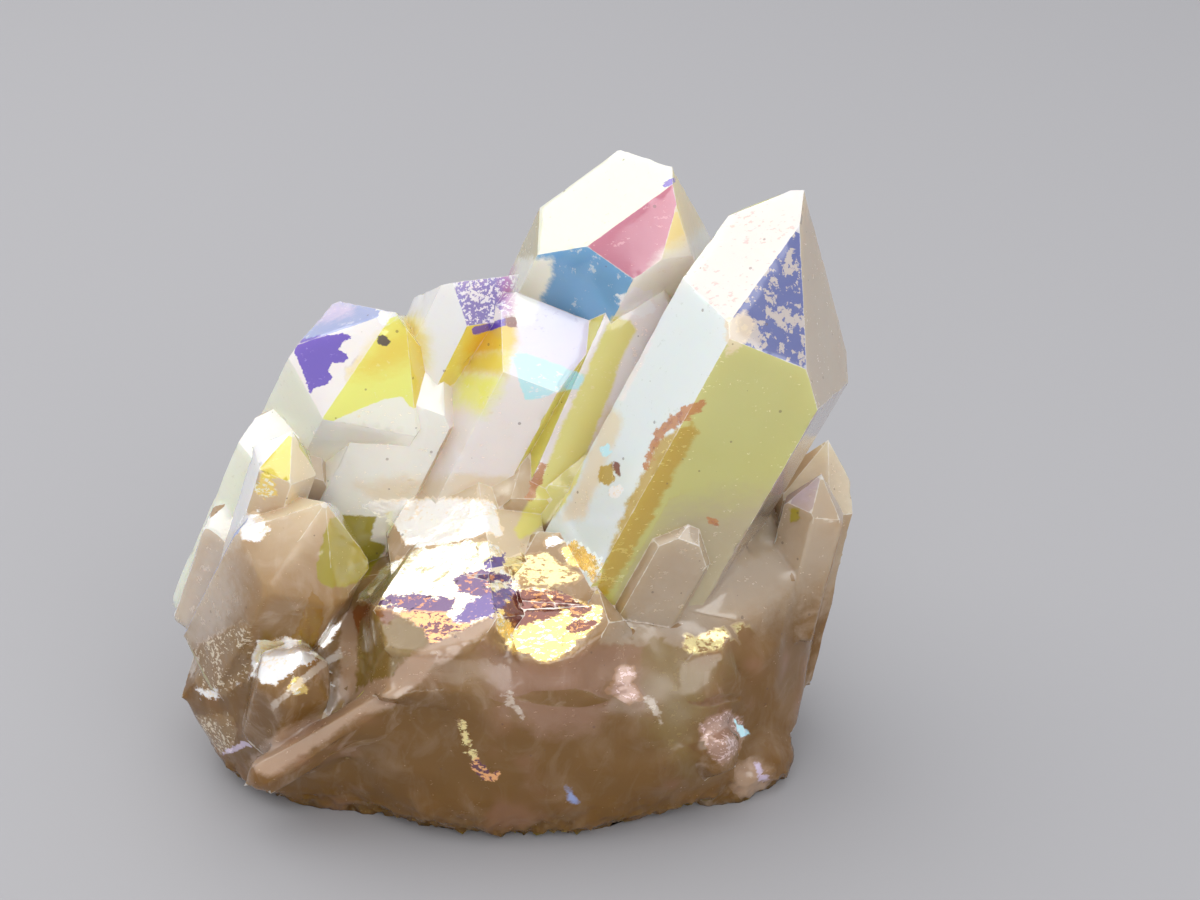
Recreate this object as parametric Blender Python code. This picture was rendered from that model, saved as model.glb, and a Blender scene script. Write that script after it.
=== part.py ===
"""Aura quartz cluster: quartz points grown together out of one milky root mass.

The whole specimen is one solid. Every point is a block cut flat by its six prism
faces and six tip faces, the lumps of the root are rough stones, and all of them are
joined and cut level underneath. The cluster stands on that cut at z = 0, centred in
X and Y under the mass, with its tallest points towards +X and its display side,
where the ledge of bright tip faces is, towards -Y.

Lengths in the calls below are millimetres and angles are degrees. A heading of 0
looks along +X and one of 90 along +Y.
"""
import math
import random

import bmesh
import bpy
from mathutils import Matrix, Vector, noise

MM = 0.001
NAME = "quartz_cluster"

# Quartz: six prism faces, and large tip faces that lean in by the same angle on every crystal.
FACES = 6
FACE_STEP = 360 / FACES
TIP_FACE_RISE = 38.2

# The block that each point is cut from, and the slab that cuts the foot level.
BLOCK_SIZE = 160 * MM
GROUND_SIZE = 120 * MM
WELD_GAP = 0.03 * MM

# Moves the middle of the footprint's box onto the origin.
CENTRING = Vector((0.6, -2.54, 0.0)) * MM

# The main lump of the root, and the one behind it, which the small buds stand on.
ROOT_CENTRE = (0.5, 0.5, 7.0)
ROOT_RADII = (19.6, 14.4, 11.6)
BACK_CENTRE = (2.5, 7.5, 15.5)
BACK_RADII = (15.5, 10.0, 12.5)

# The surface of a lump: how often its ball is divided, how far it swells and how closely.
STONE_DIVISIONS = 2
STONE_ROUGHNESS = 0.08
STONE_GRAIN = 1.6

# Small points on the far side: how many, how far round they spread, and how wide they are.
BUD_SEED = 13
BUD_COUNT = 22
BUD_HEADINGS = (5, 175)
BUD_RISES = (4, 62)
BUD_WIDTHS = (1.1, 2.3)
BUD_SIDE_SPREAD = (0.85, 1.15)
BUD_REACH = 1.10
BUD_LENGTH_TO_WIDTH = 3.6
BUD_LEAN_SHARE = 0.8


def remove_everything():
    for item in list(bpy.data.objects):
        bpy.data.objects.remove(item, do_unlink=True)


def new_collection(name):
    collection = bpy.data.collections.new(name)
    bpy.context.scene.collection.children.link(collection)
    return collection


def add_object(name, bm, collection):
    """Turns a bmesh into an object with outward faces, held by the centring empty."""
    bmesh.ops.recalc_face_normals(bm, faces=bm.faces)
    mesh = bpy.data.meshes.new(name)
    bm.to_mesh(mesh)
    bm.free()
    item = bpy.data.objects.new(name, mesh)
    item.parent = MIDDLE
    collection.objects.link(item)
    return item


def compass(heading, rise):
    """Unit vector with a heading round Z and a rise above the level."""
    turn = math.radians(heading)
    level = math.cos(math.radians(rise))
    return Vector((math.cos(turn) * level, math.sin(turn) * level, math.sin(math.radians(rise))))


def slice_off(bm, point, normal):
    """Cuts away all that lies beyond a plane and closes the cut with a flat face."""
    everything = bm.verts[:] + bm.edges[:] + bm.faces[:]
    cut = bmesh.ops.bisect_plane(bm, geom=everything, plane_co=point, plane_no=normal, clear_outer=True)
    edges = [part for part in cut["geom_cut"] if isinstance(part, bmesh.types.BMEdge)]
    if edges:
        bmesh.ops.contextual_create(bm, geom=edges)


def crystal_frame(lean, toward, turn):
    """A crystal's own axes: leant from upright towards a heading, and turned about itself."""
    heading = Matrix.Rotation(math.radians(toward), 3, "Z")
    tilt = Matrix.Rotation(math.radians(lean), 3, "Y")
    return heading @ tilt @ heading.inverted() @ Matrix.Rotation(math.radians(turn), 3, "Z")


def crystal(name, tip, lean, toward, turn, length, sides, drops=(0, 0, 0, 0, 0, 0)):
    """One quartz point.

    tip is where its axis ends. sides are the distances of the six prism faces from the
    axis. drops say how far below the tip each tip face crosses the axis: a face with a
    negative drop is small or missing, because its neighbours cut it off first.
    """
    frame = crystal_frame(lean, toward, turn)
    top = Vector(tip) * MM
    bm = bmesh.new()
    bmesh.ops.create_cube(bm, size=BLOCK_SIZE)
    bmesh.ops.translate(bm, verts=bm.verts, vec=top)
    for face in range(FACES):
        prism = frame @ compass(FACE_STEP * face, 0)
        slice_off(bm, top + prism * sides[face] * MM, prism)
        slope = frame @ compass(FACE_STEP * face, TIP_FACE_RISE)
        slice_off(bm, top + frame @ Vector((0, 0, -drops[face] * MM)), slope)
    down = frame @ Vector((0, 0, -1))
    slice_off(bm, top + down * length * MM, down)
    bmesh.ops.remove_doubles(bm, verts=bm.verts, dist=WELD_GAP)
    return add_object(name, bm, OPERANDS)


def stone(name, centre, radii, seed, rough=STONE_ROUGHNESS):
    """A rough lump: a faceted ball stretched to three radii and pushed in and out by smooth noise."""
    bm = bmesh.new()
    bmesh.ops.create_icosphere(bm, subdivisions=STONE_DIVISIONS, radius=1.0)
    for vert in bm.verts:
        swell = 1 + 2 * rough * noise.noise(vert.co * STONE_GRAIN + Vector((seed, 0, 0)))
        spot = [centre[axis] + vert.co[axis] * swell * radii[axis] for axis in range(3)]
        vert.co = Vector(spot) * MM
    return add_object(name, bm, OPERANDS)


def skyline():
    """The long points that make the outline, and the two stout ones that back them."""
    crystal("right_point", tip=(19.2, 0.0, 43.0), lean=26, toward=-1, turn=-143, length=42,
            sides=(5.6, 7.3, 8.4, 7.8, 5.5, 3.4), drops=(1.3, -0.1, 0.8, 0.0, 0.0, 0.1))
    crystal("middle_point", tip=(11.6, 4.0, 42.3), lean=29, toward=-44, turn=-177, length=26,
            sides=(7.5, 5.7, 4.0, 6.0, 6.0, 6.0), drops=(-1.0, -1.8, -1.3, 1.5, 0.4, -4.0))
    crystal("front_point", tip=(3.7, 3.5, 34.5), lean=26, toward=-1, turn=-143, length=21,
            sides=(4.5, 4.5, 3.5, 4.0, 4.0, 4.0), drops=(-3.0, 0.0, -3.0, -2.0, 2.8, -2.0))
    crystal("strip_point", tip=(9.8, 5.2, 37.0), lean=27, toward=28, turn=-84, length=24,
            sides=(2.0, 2.6, 2.4, 2.0, 2.4, 2.6))
    crystal("chisel_point", tip=(-2.2, 2.0, 36.3), lean=27, toward=-27, turn=-109, length=24,
            sides=(2.9, 2.7, 3.0, 3.0, 3.0, 2.6), drops=(-4.0, -0.9, -4.0, -4.0, 1.2, -4.0))
    crystal("left_point", tip=(-7.4, -1.0, 34.0), lean=36, toward=-51, turn=-142, length=22,
            sides=(5.0, 4.5, 5.1, 4.5, 4.5, 4.9), drops=(0.2, 0.9, 0.0, 0.0, -0.5, -0.5))
    crystal("left_shoulder", tip=(-12.8, 2.5, 27.6), lean=24, toward=-5, turn=-140, length=20,
            sides=(4.2, 4.0, 4.5, 4.0, 4.0, 3.4), drops=(0.5, 0.0, 1.0, 0.0, 0.0, 0.0))
    crystal("left_backing_point", tip=(-4.9, 3.2, 32.4), lean=26, toward=-1, turn=-143, length=20,
            sides=(4.4, 4.0, 4.6, 4.0, 4.0, 4.0))
    crystal("middle_backing_point", tip=(3.0, 7.0, 29.5), lean=12, toward=20, turn=-130, length=24,
            sides=(8.0, 7.4, 9.0, 6.0, 7.0, 7.0))


def left_flank():
    """Short points down the left side."""
    crystal("white_tooth", tip=(-14.3, -5.0, 27.7), lean=21, toward=-29, turn=-161, length=16,
            sides=(1.9, 2.0, 2.1, 2.0, 2.0, 1.8))
    crystal("olive_block", tip=(-12.0, -8.0, 24.0), lean=33, toward=-44, turn=-142, length=18,
            sides=(4.0, 4.2, 4.4, 4.0, 4.0, 4.0))
    crystal("left_edge_point", tip=(-18.2, 1.0, 20.5), lean=20, toward=10, turn=-126, length=11,
            sides=(2.6, 3.0, 3.5, 3.0, 3.0, 2.2))
    crystal("left_low_point", tip=(-19.8, -1.0, 13.0), lean=24, toward=-170, turn=-110, length=10,
            sides=(2.2, 2.6, 3.0, 3.0, 3.0, 2.2))


def ledge():
    """Broad tip faces that shelve down across the front."""
    crystal("ledge_white", tip=(-4.4, -1.0, 20.9), lean=22, toward=105, turn=-112, length=12,
            sides=(3.9, 5.6, 6.0, 5.0, 6.0, 4.6), drops=(0.0, -2.5, -6.0, -6.0, -6.0, -3.5))
    crystal("ledge_gold", tip=(-4.3, -4.4, 19.1), lean=24, toward=90, turn=-104, length=10,
            sides=(5.6, 5.6, 6.0, 5.0, 6.0, 5.4), drops=(0.0, -2.5, -3.0, 0.0, -3.0, -2.5))
    crystal("ledge_front", tip=(3.0, -7.0, 17.2), lean=22, toward=85, turn=-97, length=7,
            sides=(3.8, 4.0, 4.6, 4.0, 4.6, 3.6), drops=(0.0, -3.0, -3.0, 0.0, -3.0, -3.0))
    crystal("ledge_back", tip=(3.2, -3.6, 19.4), lean=22, toward=80, turn=-93, length=10,
            sides=(3.4, 3.6, 3.6, 3.0, 4.0, 3.6), drops=(0.0, -1.8, -2.5, 0.0, -2.5, -1.8))
    crystal("ledge_right", tip=(12.0, -3.6, 15.2), lean=20, toward=80, turn=-92, length=7,
            sides=(3.9, 3.6, 3.4, 3.4, 3.4, 3.6), drops=(0.0, -3.0, -5.0, -5.0, -5.0, -3.0))


def foot_and_right_side():
    """Low points round the foot and the small ones on the right edge."""
    crystal("pale_finger", tip=(-18.4, -10.5, 3.6), lean=123, toward=180, turn=0, length=20,
            sides=(1.2, 1.2, 1.2, 1.2, 1.2, 1.2))
    crystal("glitter_tooth", tip=(-13.8, -11.0, 14.6), lean=30, toward=-60, turn=-120, length=10,
            sides=(2.4, 2.4, 2.6, 2.4, 2.4, 2.4))
    crystal("foot_bud", tip=(14.3, -11.0, 7.4), lean=54, toward=-68, turn=121, length=8,
            sides=(1.9, 1.8, 1.7, 1.9, 1.8, 1.7))
    crystal("step_on_right_point", tip=(12.3, -6.1, 22.4), lean=26, toward=-1, turn=-143, length=9,
            sides=(2.2, 1.4, 2.4, 2.0, 2.0, 2.0))
    crystal("crumb", tip=(6.3, -2.4, 25.0), lean=20, toward=-60, turn=-120, length=4,
            sides=(0.8, 0.8, 0.9, 0.8, 0.8, 0.8))
    crystal("right_tooth", tip=(21.0, 0.5, 21.8), lean=14, toward=32, turn=-130, length=12,
            sides=(1.8, 2.0, 2.2, 2.0, 2.0, 2.0))
    crystal("right_edge_point", tip=(21.9, 5.5, 22.0), lean=12, toward=30, turn=-110, length=18,
            sides=(3.2, 3.4, 2.0, 3.0, 3.0, 3.0))


def back():
    """Points on the far side, which the display side hides."""
    crystal("back_tall_point", tip=(1.5, 15.0, 33.0), lean=20, toward=70, turn=80, length=24,
            sides=(3.6, 4.0, 3.8, 3.7, 3.6, 3.8), drops=(0.0, 0.8, 0.0, 0.6, 0.0, 0.4))
    crystal("back_right_point", tip=(18.0, 12.5, 26.5), lean=32, toward=45, turn=40, length=20,
            sides=(3.4, 3.7, 3.4, 3.6, 3.3, 3.5), drops=(0.0, 0.8, 0.0, 0.6, 0.0, 0.4))
    crystal("back_left_point", tip=(-9.5, 12.5, 26.0), lean=30, toward=115, turn=95, length=20,
            sides=(3.3, 3.5, 3.2, 3.4, 3.3, 3.4), drops=(0.4, 0.0, 0.9, 0.0, 0.3, 0.0))


def back_buds():
    """Small points all over the lump behind, pointing outwards."""
    pick = random.Random(BUD_SEED)
    step = (BUD_HEADINGS[1] - BUD_HEADINGS[0]) / (BUD_COUNT - 1)
    for number in range(BUD_COUNT):
        heading = BUD_HEADINGS[0] + step * (number + pick.uniform(-0.4, 0.4))
        rise = pick.uniform(*BUD_RISES)
        width = pick.uniform(*BUD_WIDTHS)
        out = compass(heading, rise)
        tip = [BACK_CENTRE[axis] + out[axis] * BACK_RADII[axis] * BUD_REACH for axis in range(3)]
        sides = [width * pick.uniform(*BUD_SIDE_SPREAD) for face in range(FACES)]
        crystal(f"back_bud_{number + 1}", tip, lean=(90 - rise) * BUD_LEAN_SHARE, toward=heading,
                turn=pick.uniform(0, FACE_STEP), length=width * BUD_LENGTH_TO_WIDTH, sides=sides)


def root_lumps():
    """The milky mass under the points. The first lump is the one that everything joins."""
    main = stone("root_mass", ROOT_CENTRE, ROOT_RADII, seed=3, rough=0.07)
    stone("left_root", (-14.0, 0.5, 6.0), (9.3, 10.5, 9.5), seed=11)
    stone("right_root", (12.5, 3.0, 9.0), (9.5, 11.0, 11.5), seed=17)
    stone("back_root", BACK_CENTRE, BACK_RADII, seed=29)
    stone("left_back_root", (-12.5, 7.5, 12.0), (9.0, 8.5, 11.5), seed=37)
    stone("right_foot", (14.4, -3.2, 2.0), (5.0, 5.0, 3.6), seed=23)
    stone("left_foot", (-11.5, -4.6, 1.5), (6.5, 4.4, 4.0), seed=31)
    return main


def ground_cutter():
    bm = bmesh.new()
    bmesh.ops.create_cube(bm, size=GROUND_SIZE)
    bmesh.ops.translate(bm, verts=bm.verts, vec=(0, 0, -GROUND_SIZE / 2))
    return add_object("ground_cutter", bm, CUTTERS)


def quartz_material():
    """Milky quartz with the pinkish cream of a thin metal coat."""
    material = bpy.data.materials.new("aura_quartz")
    material.use_nodes = True
    shader = material.node_tree.nodes["Principled BSDF"]
    shader.inputs["Base Color"].default_value = (0.78, 0.66, 0.58, 1)
    shader.inputs["Roughness"].default_value = 0.12
    shader.inputs["Metallic"].default_value = 0.0
    shader.inputs["IOR"].default_value = 1.54
    return material


def join_cluster(main, ground):
    """Grows all points and lumps into the main one, then cuts the foot level."""
    OPERANDS.objects.unlink(main)
    CLUSTER.objects.link(main)
    main.name = NAME
    main.data.materials.append(quartz_material())
    join = main.modifiers.new("grown together", "BOOLEAN")
    join.operation = "UNION"
    join.solver = "EXACT"
    join.operand_type = "COLLECTION"
    join.collection = OPERANDS
    level = main.modifiers.new("level foot", "BOOLEAN")
    level.operation = "DIFFERENCE"
    level.solver = "EXACT"
    level.object = ground
    tidy = main.modifiers.new("merge doubled points", "WELD")
    tidy.merge_threshold = WELD_GAP


def hide_helpers():
    for collection in (OPERANDS, CUTTERS):
        for helper in collection.objects:
            helper.hide_render = True
            helper.display_type = "WIRE"


remove_everything()
CLUSTER = new_collection("aura_quartz_cluster")
OPERANDS = new_collection("points_and_lumps")
CUTTERS = new_collection("cutters")
MIDDLE = bpy.data.objects.new("middle", None)
MIDDLE.location = CENTRING
CLUSTER.objects.link(MIDDLE)

root = root_lumps()
skyline()
left_flank()
ledge()
foot_and_right_side()
back()
back_buds()
join_cluster(root, ground_cutter())
hide_helpers()
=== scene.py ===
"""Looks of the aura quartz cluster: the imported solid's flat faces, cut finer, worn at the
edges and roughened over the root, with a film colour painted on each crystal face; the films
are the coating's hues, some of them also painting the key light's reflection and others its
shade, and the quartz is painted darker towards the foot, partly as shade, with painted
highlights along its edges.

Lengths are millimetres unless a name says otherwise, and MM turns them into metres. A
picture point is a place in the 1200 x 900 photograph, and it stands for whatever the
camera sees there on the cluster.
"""
import math
from itertools import product

import bmesh
import bpy
import numpy as np
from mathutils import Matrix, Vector
from mathutils.bvhtree import BVHTree
from mathutils.kdtree import KDTree


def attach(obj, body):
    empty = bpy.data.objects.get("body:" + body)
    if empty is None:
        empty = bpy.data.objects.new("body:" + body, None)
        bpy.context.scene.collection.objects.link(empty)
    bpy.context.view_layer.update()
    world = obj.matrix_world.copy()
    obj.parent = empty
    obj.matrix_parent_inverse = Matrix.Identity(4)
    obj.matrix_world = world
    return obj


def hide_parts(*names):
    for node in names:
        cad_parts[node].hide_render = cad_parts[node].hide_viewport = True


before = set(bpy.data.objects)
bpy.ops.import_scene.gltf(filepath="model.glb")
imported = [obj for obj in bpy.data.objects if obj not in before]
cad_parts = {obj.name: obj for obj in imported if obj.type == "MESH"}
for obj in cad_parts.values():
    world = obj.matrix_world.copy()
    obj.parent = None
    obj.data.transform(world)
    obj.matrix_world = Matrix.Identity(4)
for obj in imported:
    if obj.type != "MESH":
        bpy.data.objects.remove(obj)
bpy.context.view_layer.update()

MM = 0.001
NODE = "quartz_cluster"

# Camera: the photograph looks 26 degrees down on the cluster through a long lens.
PICTURE_WIDTH = 1200
PICTURE_HEIGHT = 900
SENSOR_WIDTH = 36.0
LENS = 70.0
CAMERA_DROP = math.radians(26)
CAMERA_DISTANCE = 160.0
CAMERA_TARGET = np.array([6.4, -1.44, 23.3])
PIXELS_PER_MM = PICTURE_WIDTH * LENS / SENSOR_WIDTH / CAMERA_DISTANCE

RIGHT = np.array([1.0, 0.0, 0.0])
FORWARD = np.array([0.0, math.cos(CAMERA_DROP), -math.sin(CAMERA_DROP)])
UP = np.cross(RIGHT, FORWARD)
EYE = CAMERA_TARGET - CAMERA_DISTANCE * FORWARD

# Mesh: how long a side may be at a fold or at a patch's outline, how much longer for each
# mm away from them, at most, and on the root, and the step between places on an outline.
FINEST_SIDE = 0.34
SIDE_GROWTH = 0.5
LONGEST_SIDE = 1.35
ROOT_SIDE = 0.53
SAMPLE_STEP = 0.3

# Corners closer than MERGE_GAP are one, and faces that turn less than ONE_PLANE are flat. A
# face is part of the root where more than SOFT_SHARE of its border folds less than SOFT_FOLD,
# and a fold inside the root stays crisp from CRISP_FOLD. ROOT_ROUNDING is rounds of smoothing.
MERGE_GAP = 0.005
ONE_PLANE = math.radians(0.6)
SOFT_FOLD = math.radians(34)
CRISP_FOLD = 1.4 * SOFT_FOLD
SOFT_SHARE = 0.4
ROOT_ROUNDING = 10

# A face of the far side draws a film where it looks back, is at least so large, in square
# mm, and reaches so high, and it is a tip where it slopes so much.
FAR_TURN = 0.1
FAR_AREA = 1.0
FAR_HEIGHT = 9
TIP_SLOPE = 0.4

# How near the level a point of the cut foot is, how high the broken rim reaches, and how far
# the wear reaches in from an edge. Away from every edge, the reach is FAR_FROM_EDGE.
FOOT_LEVEL = 0.05
RIM_HEIGHT = 3.5
EDGE_REACH = 0.2
CHIP_REACH = 0.4
FAR_FROM_EDGE = 9.0

# The long axes of the points: how far each leans from upright, and towards which heading.
POINT_AXES = ((26, -1), (29, -44), (27, -27), (36, -51), (24, -5), (33, -44), (21, -29), (12, 30))


def linear(red, green, blue):
    """A screen colour, 0 to 255, as the linear colour that shaders take."""
    share = np.array([red, green, blue]) / 255
    return tuple(np.where(share <= 0.04045, share / 12.92, ((share + 0.055) / 1.055) ** 2.4))


def film(main, second, cover=0.8, speckle=0.1, rough=0.12, glint=0.0, coarse=0.0):
    """A film of the coat: its colour, the colour of its speckles, how much of the quartz
    it hides, the share of speckles, its roughness, how metallic and flaky it is, and
    whether its speckles are coarse."""
    return {"main": linear(*main), "second": linear(*second), "cover": cover,
            "speckle": speckle, "rough": rough, "glint": glint, "coarse": coarse}


FILMS = {
    "bare": film((206, 184, 160), (190, 160, 130), cover=0.0, speckle=0.0, rough=0.24),
    "pale yellow": film((238, 240, 212), (230, 228, 190), cover=0.95, speckle=0.06, rough=0.1),
    "rosy white": film((240, 222, 216), (238, 194, 188), cover=0.95, speckle=0.22, rough=0.1),
    "steel blue": film((70, 86, 158), (190, 180, 176), cover=0.96, speckle=0.42, rough=0.14, coarse=1.0),
    "rose": film((196, 108, 136), (222, 154, 168), cover=0.95, speckle=0.16, rough=0.12),
    "peach": film((250, 224, 150), (242, 212, 140), cover=0.94, speckle=0.1, rough=0.14),
    "pale straw": film((255, 254, 236), (250, 244, 220), cover=0.96, speckle=0.1, rough=0.14),
    "clear blue": film((98, 166, 214), (184, 208, 226), cover=0.95, speckle=0.22, rough=0.1, coarse=1.0),
    "lavender": film((228, 226, 250), (214, 210, 240), cover=0.94, speckle=0.12, rough=0.1),
    "ice blue": film((198, 244, 255), (236, 250, 255), cover=0.96, speckle=0.2, rough=0.1),
    "blue white": film((230, 240, 240), (218, 228, 226), cover=0.94, speckle=0.1, rough=0.14),
    "sage": film((202, 200, 116), (214, 210, 142), cover=0.92, speckle=0.1, rough=0.18),
    "dull sage": film((184, 176, 126), (200, 190, 142), cover=0.82, speckle=0.1, rough=0.2),
    "straw": film((232, 224, 118), (240, 230, 150), cover=0.92, speckle=0.14, rough=0.16),
    "orange gold": film((240, 200, 44), (244, 208, 70), cover=0.95, speckle=0.1, rough=0.12),
    "golden": film((240, 216, 78), (246, 228, 110), cover=0.95, speckle=0.15, rough=0.12),
    "chartreuse": film((244, 246, 118), (248, 248, 168), cover=0.94, speckle=0.12, rough=0.12),
    "white": film((255, 255, 255), (248, 248, 255), cover=0.97, speckle=0.08, rough=0.1),
    "violet speckle": film((138, 128, 198), (248, 242, 250), cover=0.97, speckle=0.46, rough=0.12),
    "rosy speckle": film((190, 132, 184), (250, 240, 248), cover=0.97, speckle=0.4, rough=0.12),
    "deep violet": film((104, 74, 190), (140, 118, 214), cover=0.98, speckle=0.14, rough=0.1),
    "powder blue": film((150, 166, 216), (196, 204, 232), cover=0.94, speckle=0.2, rough=0.1, coarse=1.0),
    "pale mint": film((246, 252, 230), (236, 240, 216), cover=0.92, speckle=0.1, rough=0.16),
    "ivory": film((255, 252, 240), (250, 240, 220), cover=0.92, speckle=0.12, rough=0.18),
    "shell": film((248, 240, 238), (240, 224, 216), cover=0.86, speckle=0.12, rough=0.18),
    "sandy": film((234, 216, 184), (222, 200, 166), cover=0.8, speckle=0.14, rough=0.2),
    "beige": film((184, 166, 142), (198, 180, 156), cover=0.8, speckle=0.1, rough=0.18),
    "grey violet": film((162, 146, 148), (176, 160, 158), cover=0.8, speckle=0.1, rough=0.16),
    "olive": film((170, 156, 14), (182, 168, 60), cover=0.95, speckle=0.12, rough=0.18),
    "ochre": film((192, 158, 36), (208, 184, 84), cover=0.9, speckle=0.22, rough=0.18),
    "amber": film((156, 112, 10), (180, 134, 36), cover=0.93, speckle=0.12, rough=0.16),
    "rust": film((196, 130, 66), (172, 96, 40), cover=0.9, speckle=0.3, rough=0.2),
    "cinnamon": film((140, 78, 30), (168, 104, 50), cover=0.9, speckle=0.15, rough=0.2),
    "lilac": film((222, 204, 232), (240, 228, 240), cover=0.85, speckle=0.2, rough=0.12),
    "blush": film((160, 118, 94), (176, 136, 112), cover=0.55, speckle=0.1, rough=0.24),
    "moss": film((134, 110, 34), (148, 126, 54), cover=0.6, speckle=0.1, rough=0.24),
    "pale band": film((188, 156, 128), (200, 172, 146), cover=0.75, speckle=0.1, rough=0.22),
    "milky": film((214, 200, 184), (226, 214, 200), cover=0.7, speckle=0.2, rough=0.24, coarse=1.0),
    "dark": film((70, 54, 46), (96, 74, 62), cover=0.95, speckle=0.2, rough=0.3),
    "dark red": film((130, 60, 50), (150, 84, 64), cover=0.95, speckle=0.1, rough=0.2),
    "silver": film((158, 158, 192), (232, 232, 244), cover=0.95, speckle=0.45, rough=0.12),
    "glittery brown": film((150, 118, 70), (246, 232, 204), cover=0.7, speckle=0.36, rough=0.2, glint=0.5),
    "pink glitter": film((176, 142, 128), (232, 204, 204), cover=0.7, speckle=0.38, rough=0.2, glint=0.3),
    # Near white partly as a painted reflection of the key light, on the ledge's band and the white glints;
    # its glint adds real metallic shine.
    "mirror white": film((255, 253, 250), (255, 238, 214), cover=1.0, speckle=0.26, rough=0.13, glint=0.55),
    "mirror cream": film((255, 240, 206), (255, 253, 246), cover=1.0, speckle=0.42, rough=0.14,
                         glint=1.0, coarse=1.0),
    "mirror gold": film((250, 214, 120), (255, 248, 222), cover=1.0, speckle=0.42, rough=0.16, glint=1.0),
    "mirror straw": film((236, 218, 150), (150, 112, 54), cover=1.0, speckle=0.42, rough=0.18, glint=0.9),
    "mirror ember": film((240, 176, 112), (104, 50, 66), cover=1.0, speckle=0.5, rough=0.16, glint=0.9),
    "mirror violet": film((98, 64, 112), (214, 140, 100), cover=1.0, speckle=0.3, rough=0.15, glint=0.7),
    "mirror indigo": film((100, 78, 142), (176, 134, 150), cover=1.0, speckle=0.2, rough=0.14, glint=0.7),
    "mirror rust": film((112, 44, 20), (206, 140, 76), cover=1.0, speckle=0.3, rough=0.18, glint=0.8),
}

# Films of the flat faces that the picture shows, each with a picture point on the face.
# A visible face that isn't named stays bare. A film is the coating's hue, but some are also
# painted light: pale films on faces turned to the key light paint its reflection, and dark
# ones on faces turned away from it paint shade.
FACE_FILMS = (
    # Painted reflection of the key light in this top face's pale yellow.
    ("middle point, top", (623, 182), "pale yellow"),
    # Painted shade: the rose hue is the coating's, its darkness is shade of a face turned away from the key
    # light.
    ("middle point, right tip face", (634, 245), "rose"),
    ("middle point, far right tip face", (677, 246), "peach"),
    ("middle point, right side", (697, 234), "peach"),
    ("middle point, lower right side", (666, 275), "pale straw"),
    ("middle point, left side", (528, 251), "dull sage"),
    ("middle point, front side", (579, 281), "clear blue"),
    # Painted reflection of the key light in this top face's rosy white.
    ("right point, top", (742, 249), "rosy white"),
    # Painted shade: the blue hue is the coating's, its darkness is shade of a face turned away from the key
    # light.
    ("right point, blue tip face", (771, 319), "steel blue"),
    ("right point, left side", (687, 341), "blue white"),
    ("right point, front side", (752, 411), "sage"),
    ("right point, right side", (827, 359), "beige"),
    ("right point, back right side", (820, 418), "grey violet"),
    ("front point, tip face", (542, 344), "lavender"),
    ("front point, top sliver", (505, 298), "violet speckle"),
    ("front point, left side", (472, 390), "shell"),
    ("front point, front side", (516, 408), "shell"),
    ("front point, right side", (561, 392), "straw"),
    ("strip point, front side", (616, 347), "shell"),
    ("strip point, left side", (538, 450), "straw"),
    ("strip point, top", (594, 323), "straw"),
    ("chisel point, speckled tip face", (478, 298), "violet speckle"),
    ("chisel point, left side", (420, 305), "white"),
    # Painted reflection of the key light in this face's white.
    ("chisel point, front side", (444, 324), "white"),
    ("chisel point, right side", (472, 337), "golden"),
    ("left point, back tip face", (340, 315), "powder blue"),
    ("left point, left tip face", (324, 364), "shell"),
    ("left point, right tip face", (378, 395), "chartreuse"),
    ("left point, left side", (289, 398), "pale mint"),
    ("left point, front side", (330, 437), "ivory"),
    ("left point, right side", (416, 358), "golden"),
    ("backing point, tip face", (431, 397), "ivory"),
    ("backing point, right side", (448, 395), "shell"),
    ("backing point, front side", (372, 483), "ivory"),
    ("backing point, left side", (332, 464), "ivory"),
    ("left shoulder, tip", (269, 425), "ivory"),
    ("left shoulder, side", (227, 494), "pale mint"),
    ("left edge, tip", (218, 523), "ivory"),
    ("left edge, side", (209, 548), "milky"),
    ("white tooth, top", (263, 450), "white"),
    ("white tooth, front", (278, 464), "golden"),
    ("white tooth, left", (252, 470), "white"),
    ("white tooth, right", (301, 469), "sandy"),
    ("white tooth, lower right", (303, 488), "sandy"),
    ("olive block, top", (299, 503), "sandy"),
    ("ledge, right of the white band", (508, 532), "sandy"),
    ("right edge, tip", (819, 464), "sandy"),
    ("right edge, right tip face", (840, 483), "sandy"),
    ("right tooth, tip", (805, 499), "lilac"),
    ("right tooth, left tip face", (793, 493), "lilac"),
)

# Films that the faces of the far side draw by lot: the sloping tips and the upright sides.
LOT_SEED = 5
TIP_FILMS = ("pale yellow", "rosy white", "lavender", "steel blue", "golden", "white", "powder blue",
             "violet speckle", "chartreuse")
SIDE_FILMS = ("shell", "ivory", "sage", "pale mint", "sandy", "blue white", "dull sage", "steel blue")

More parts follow.
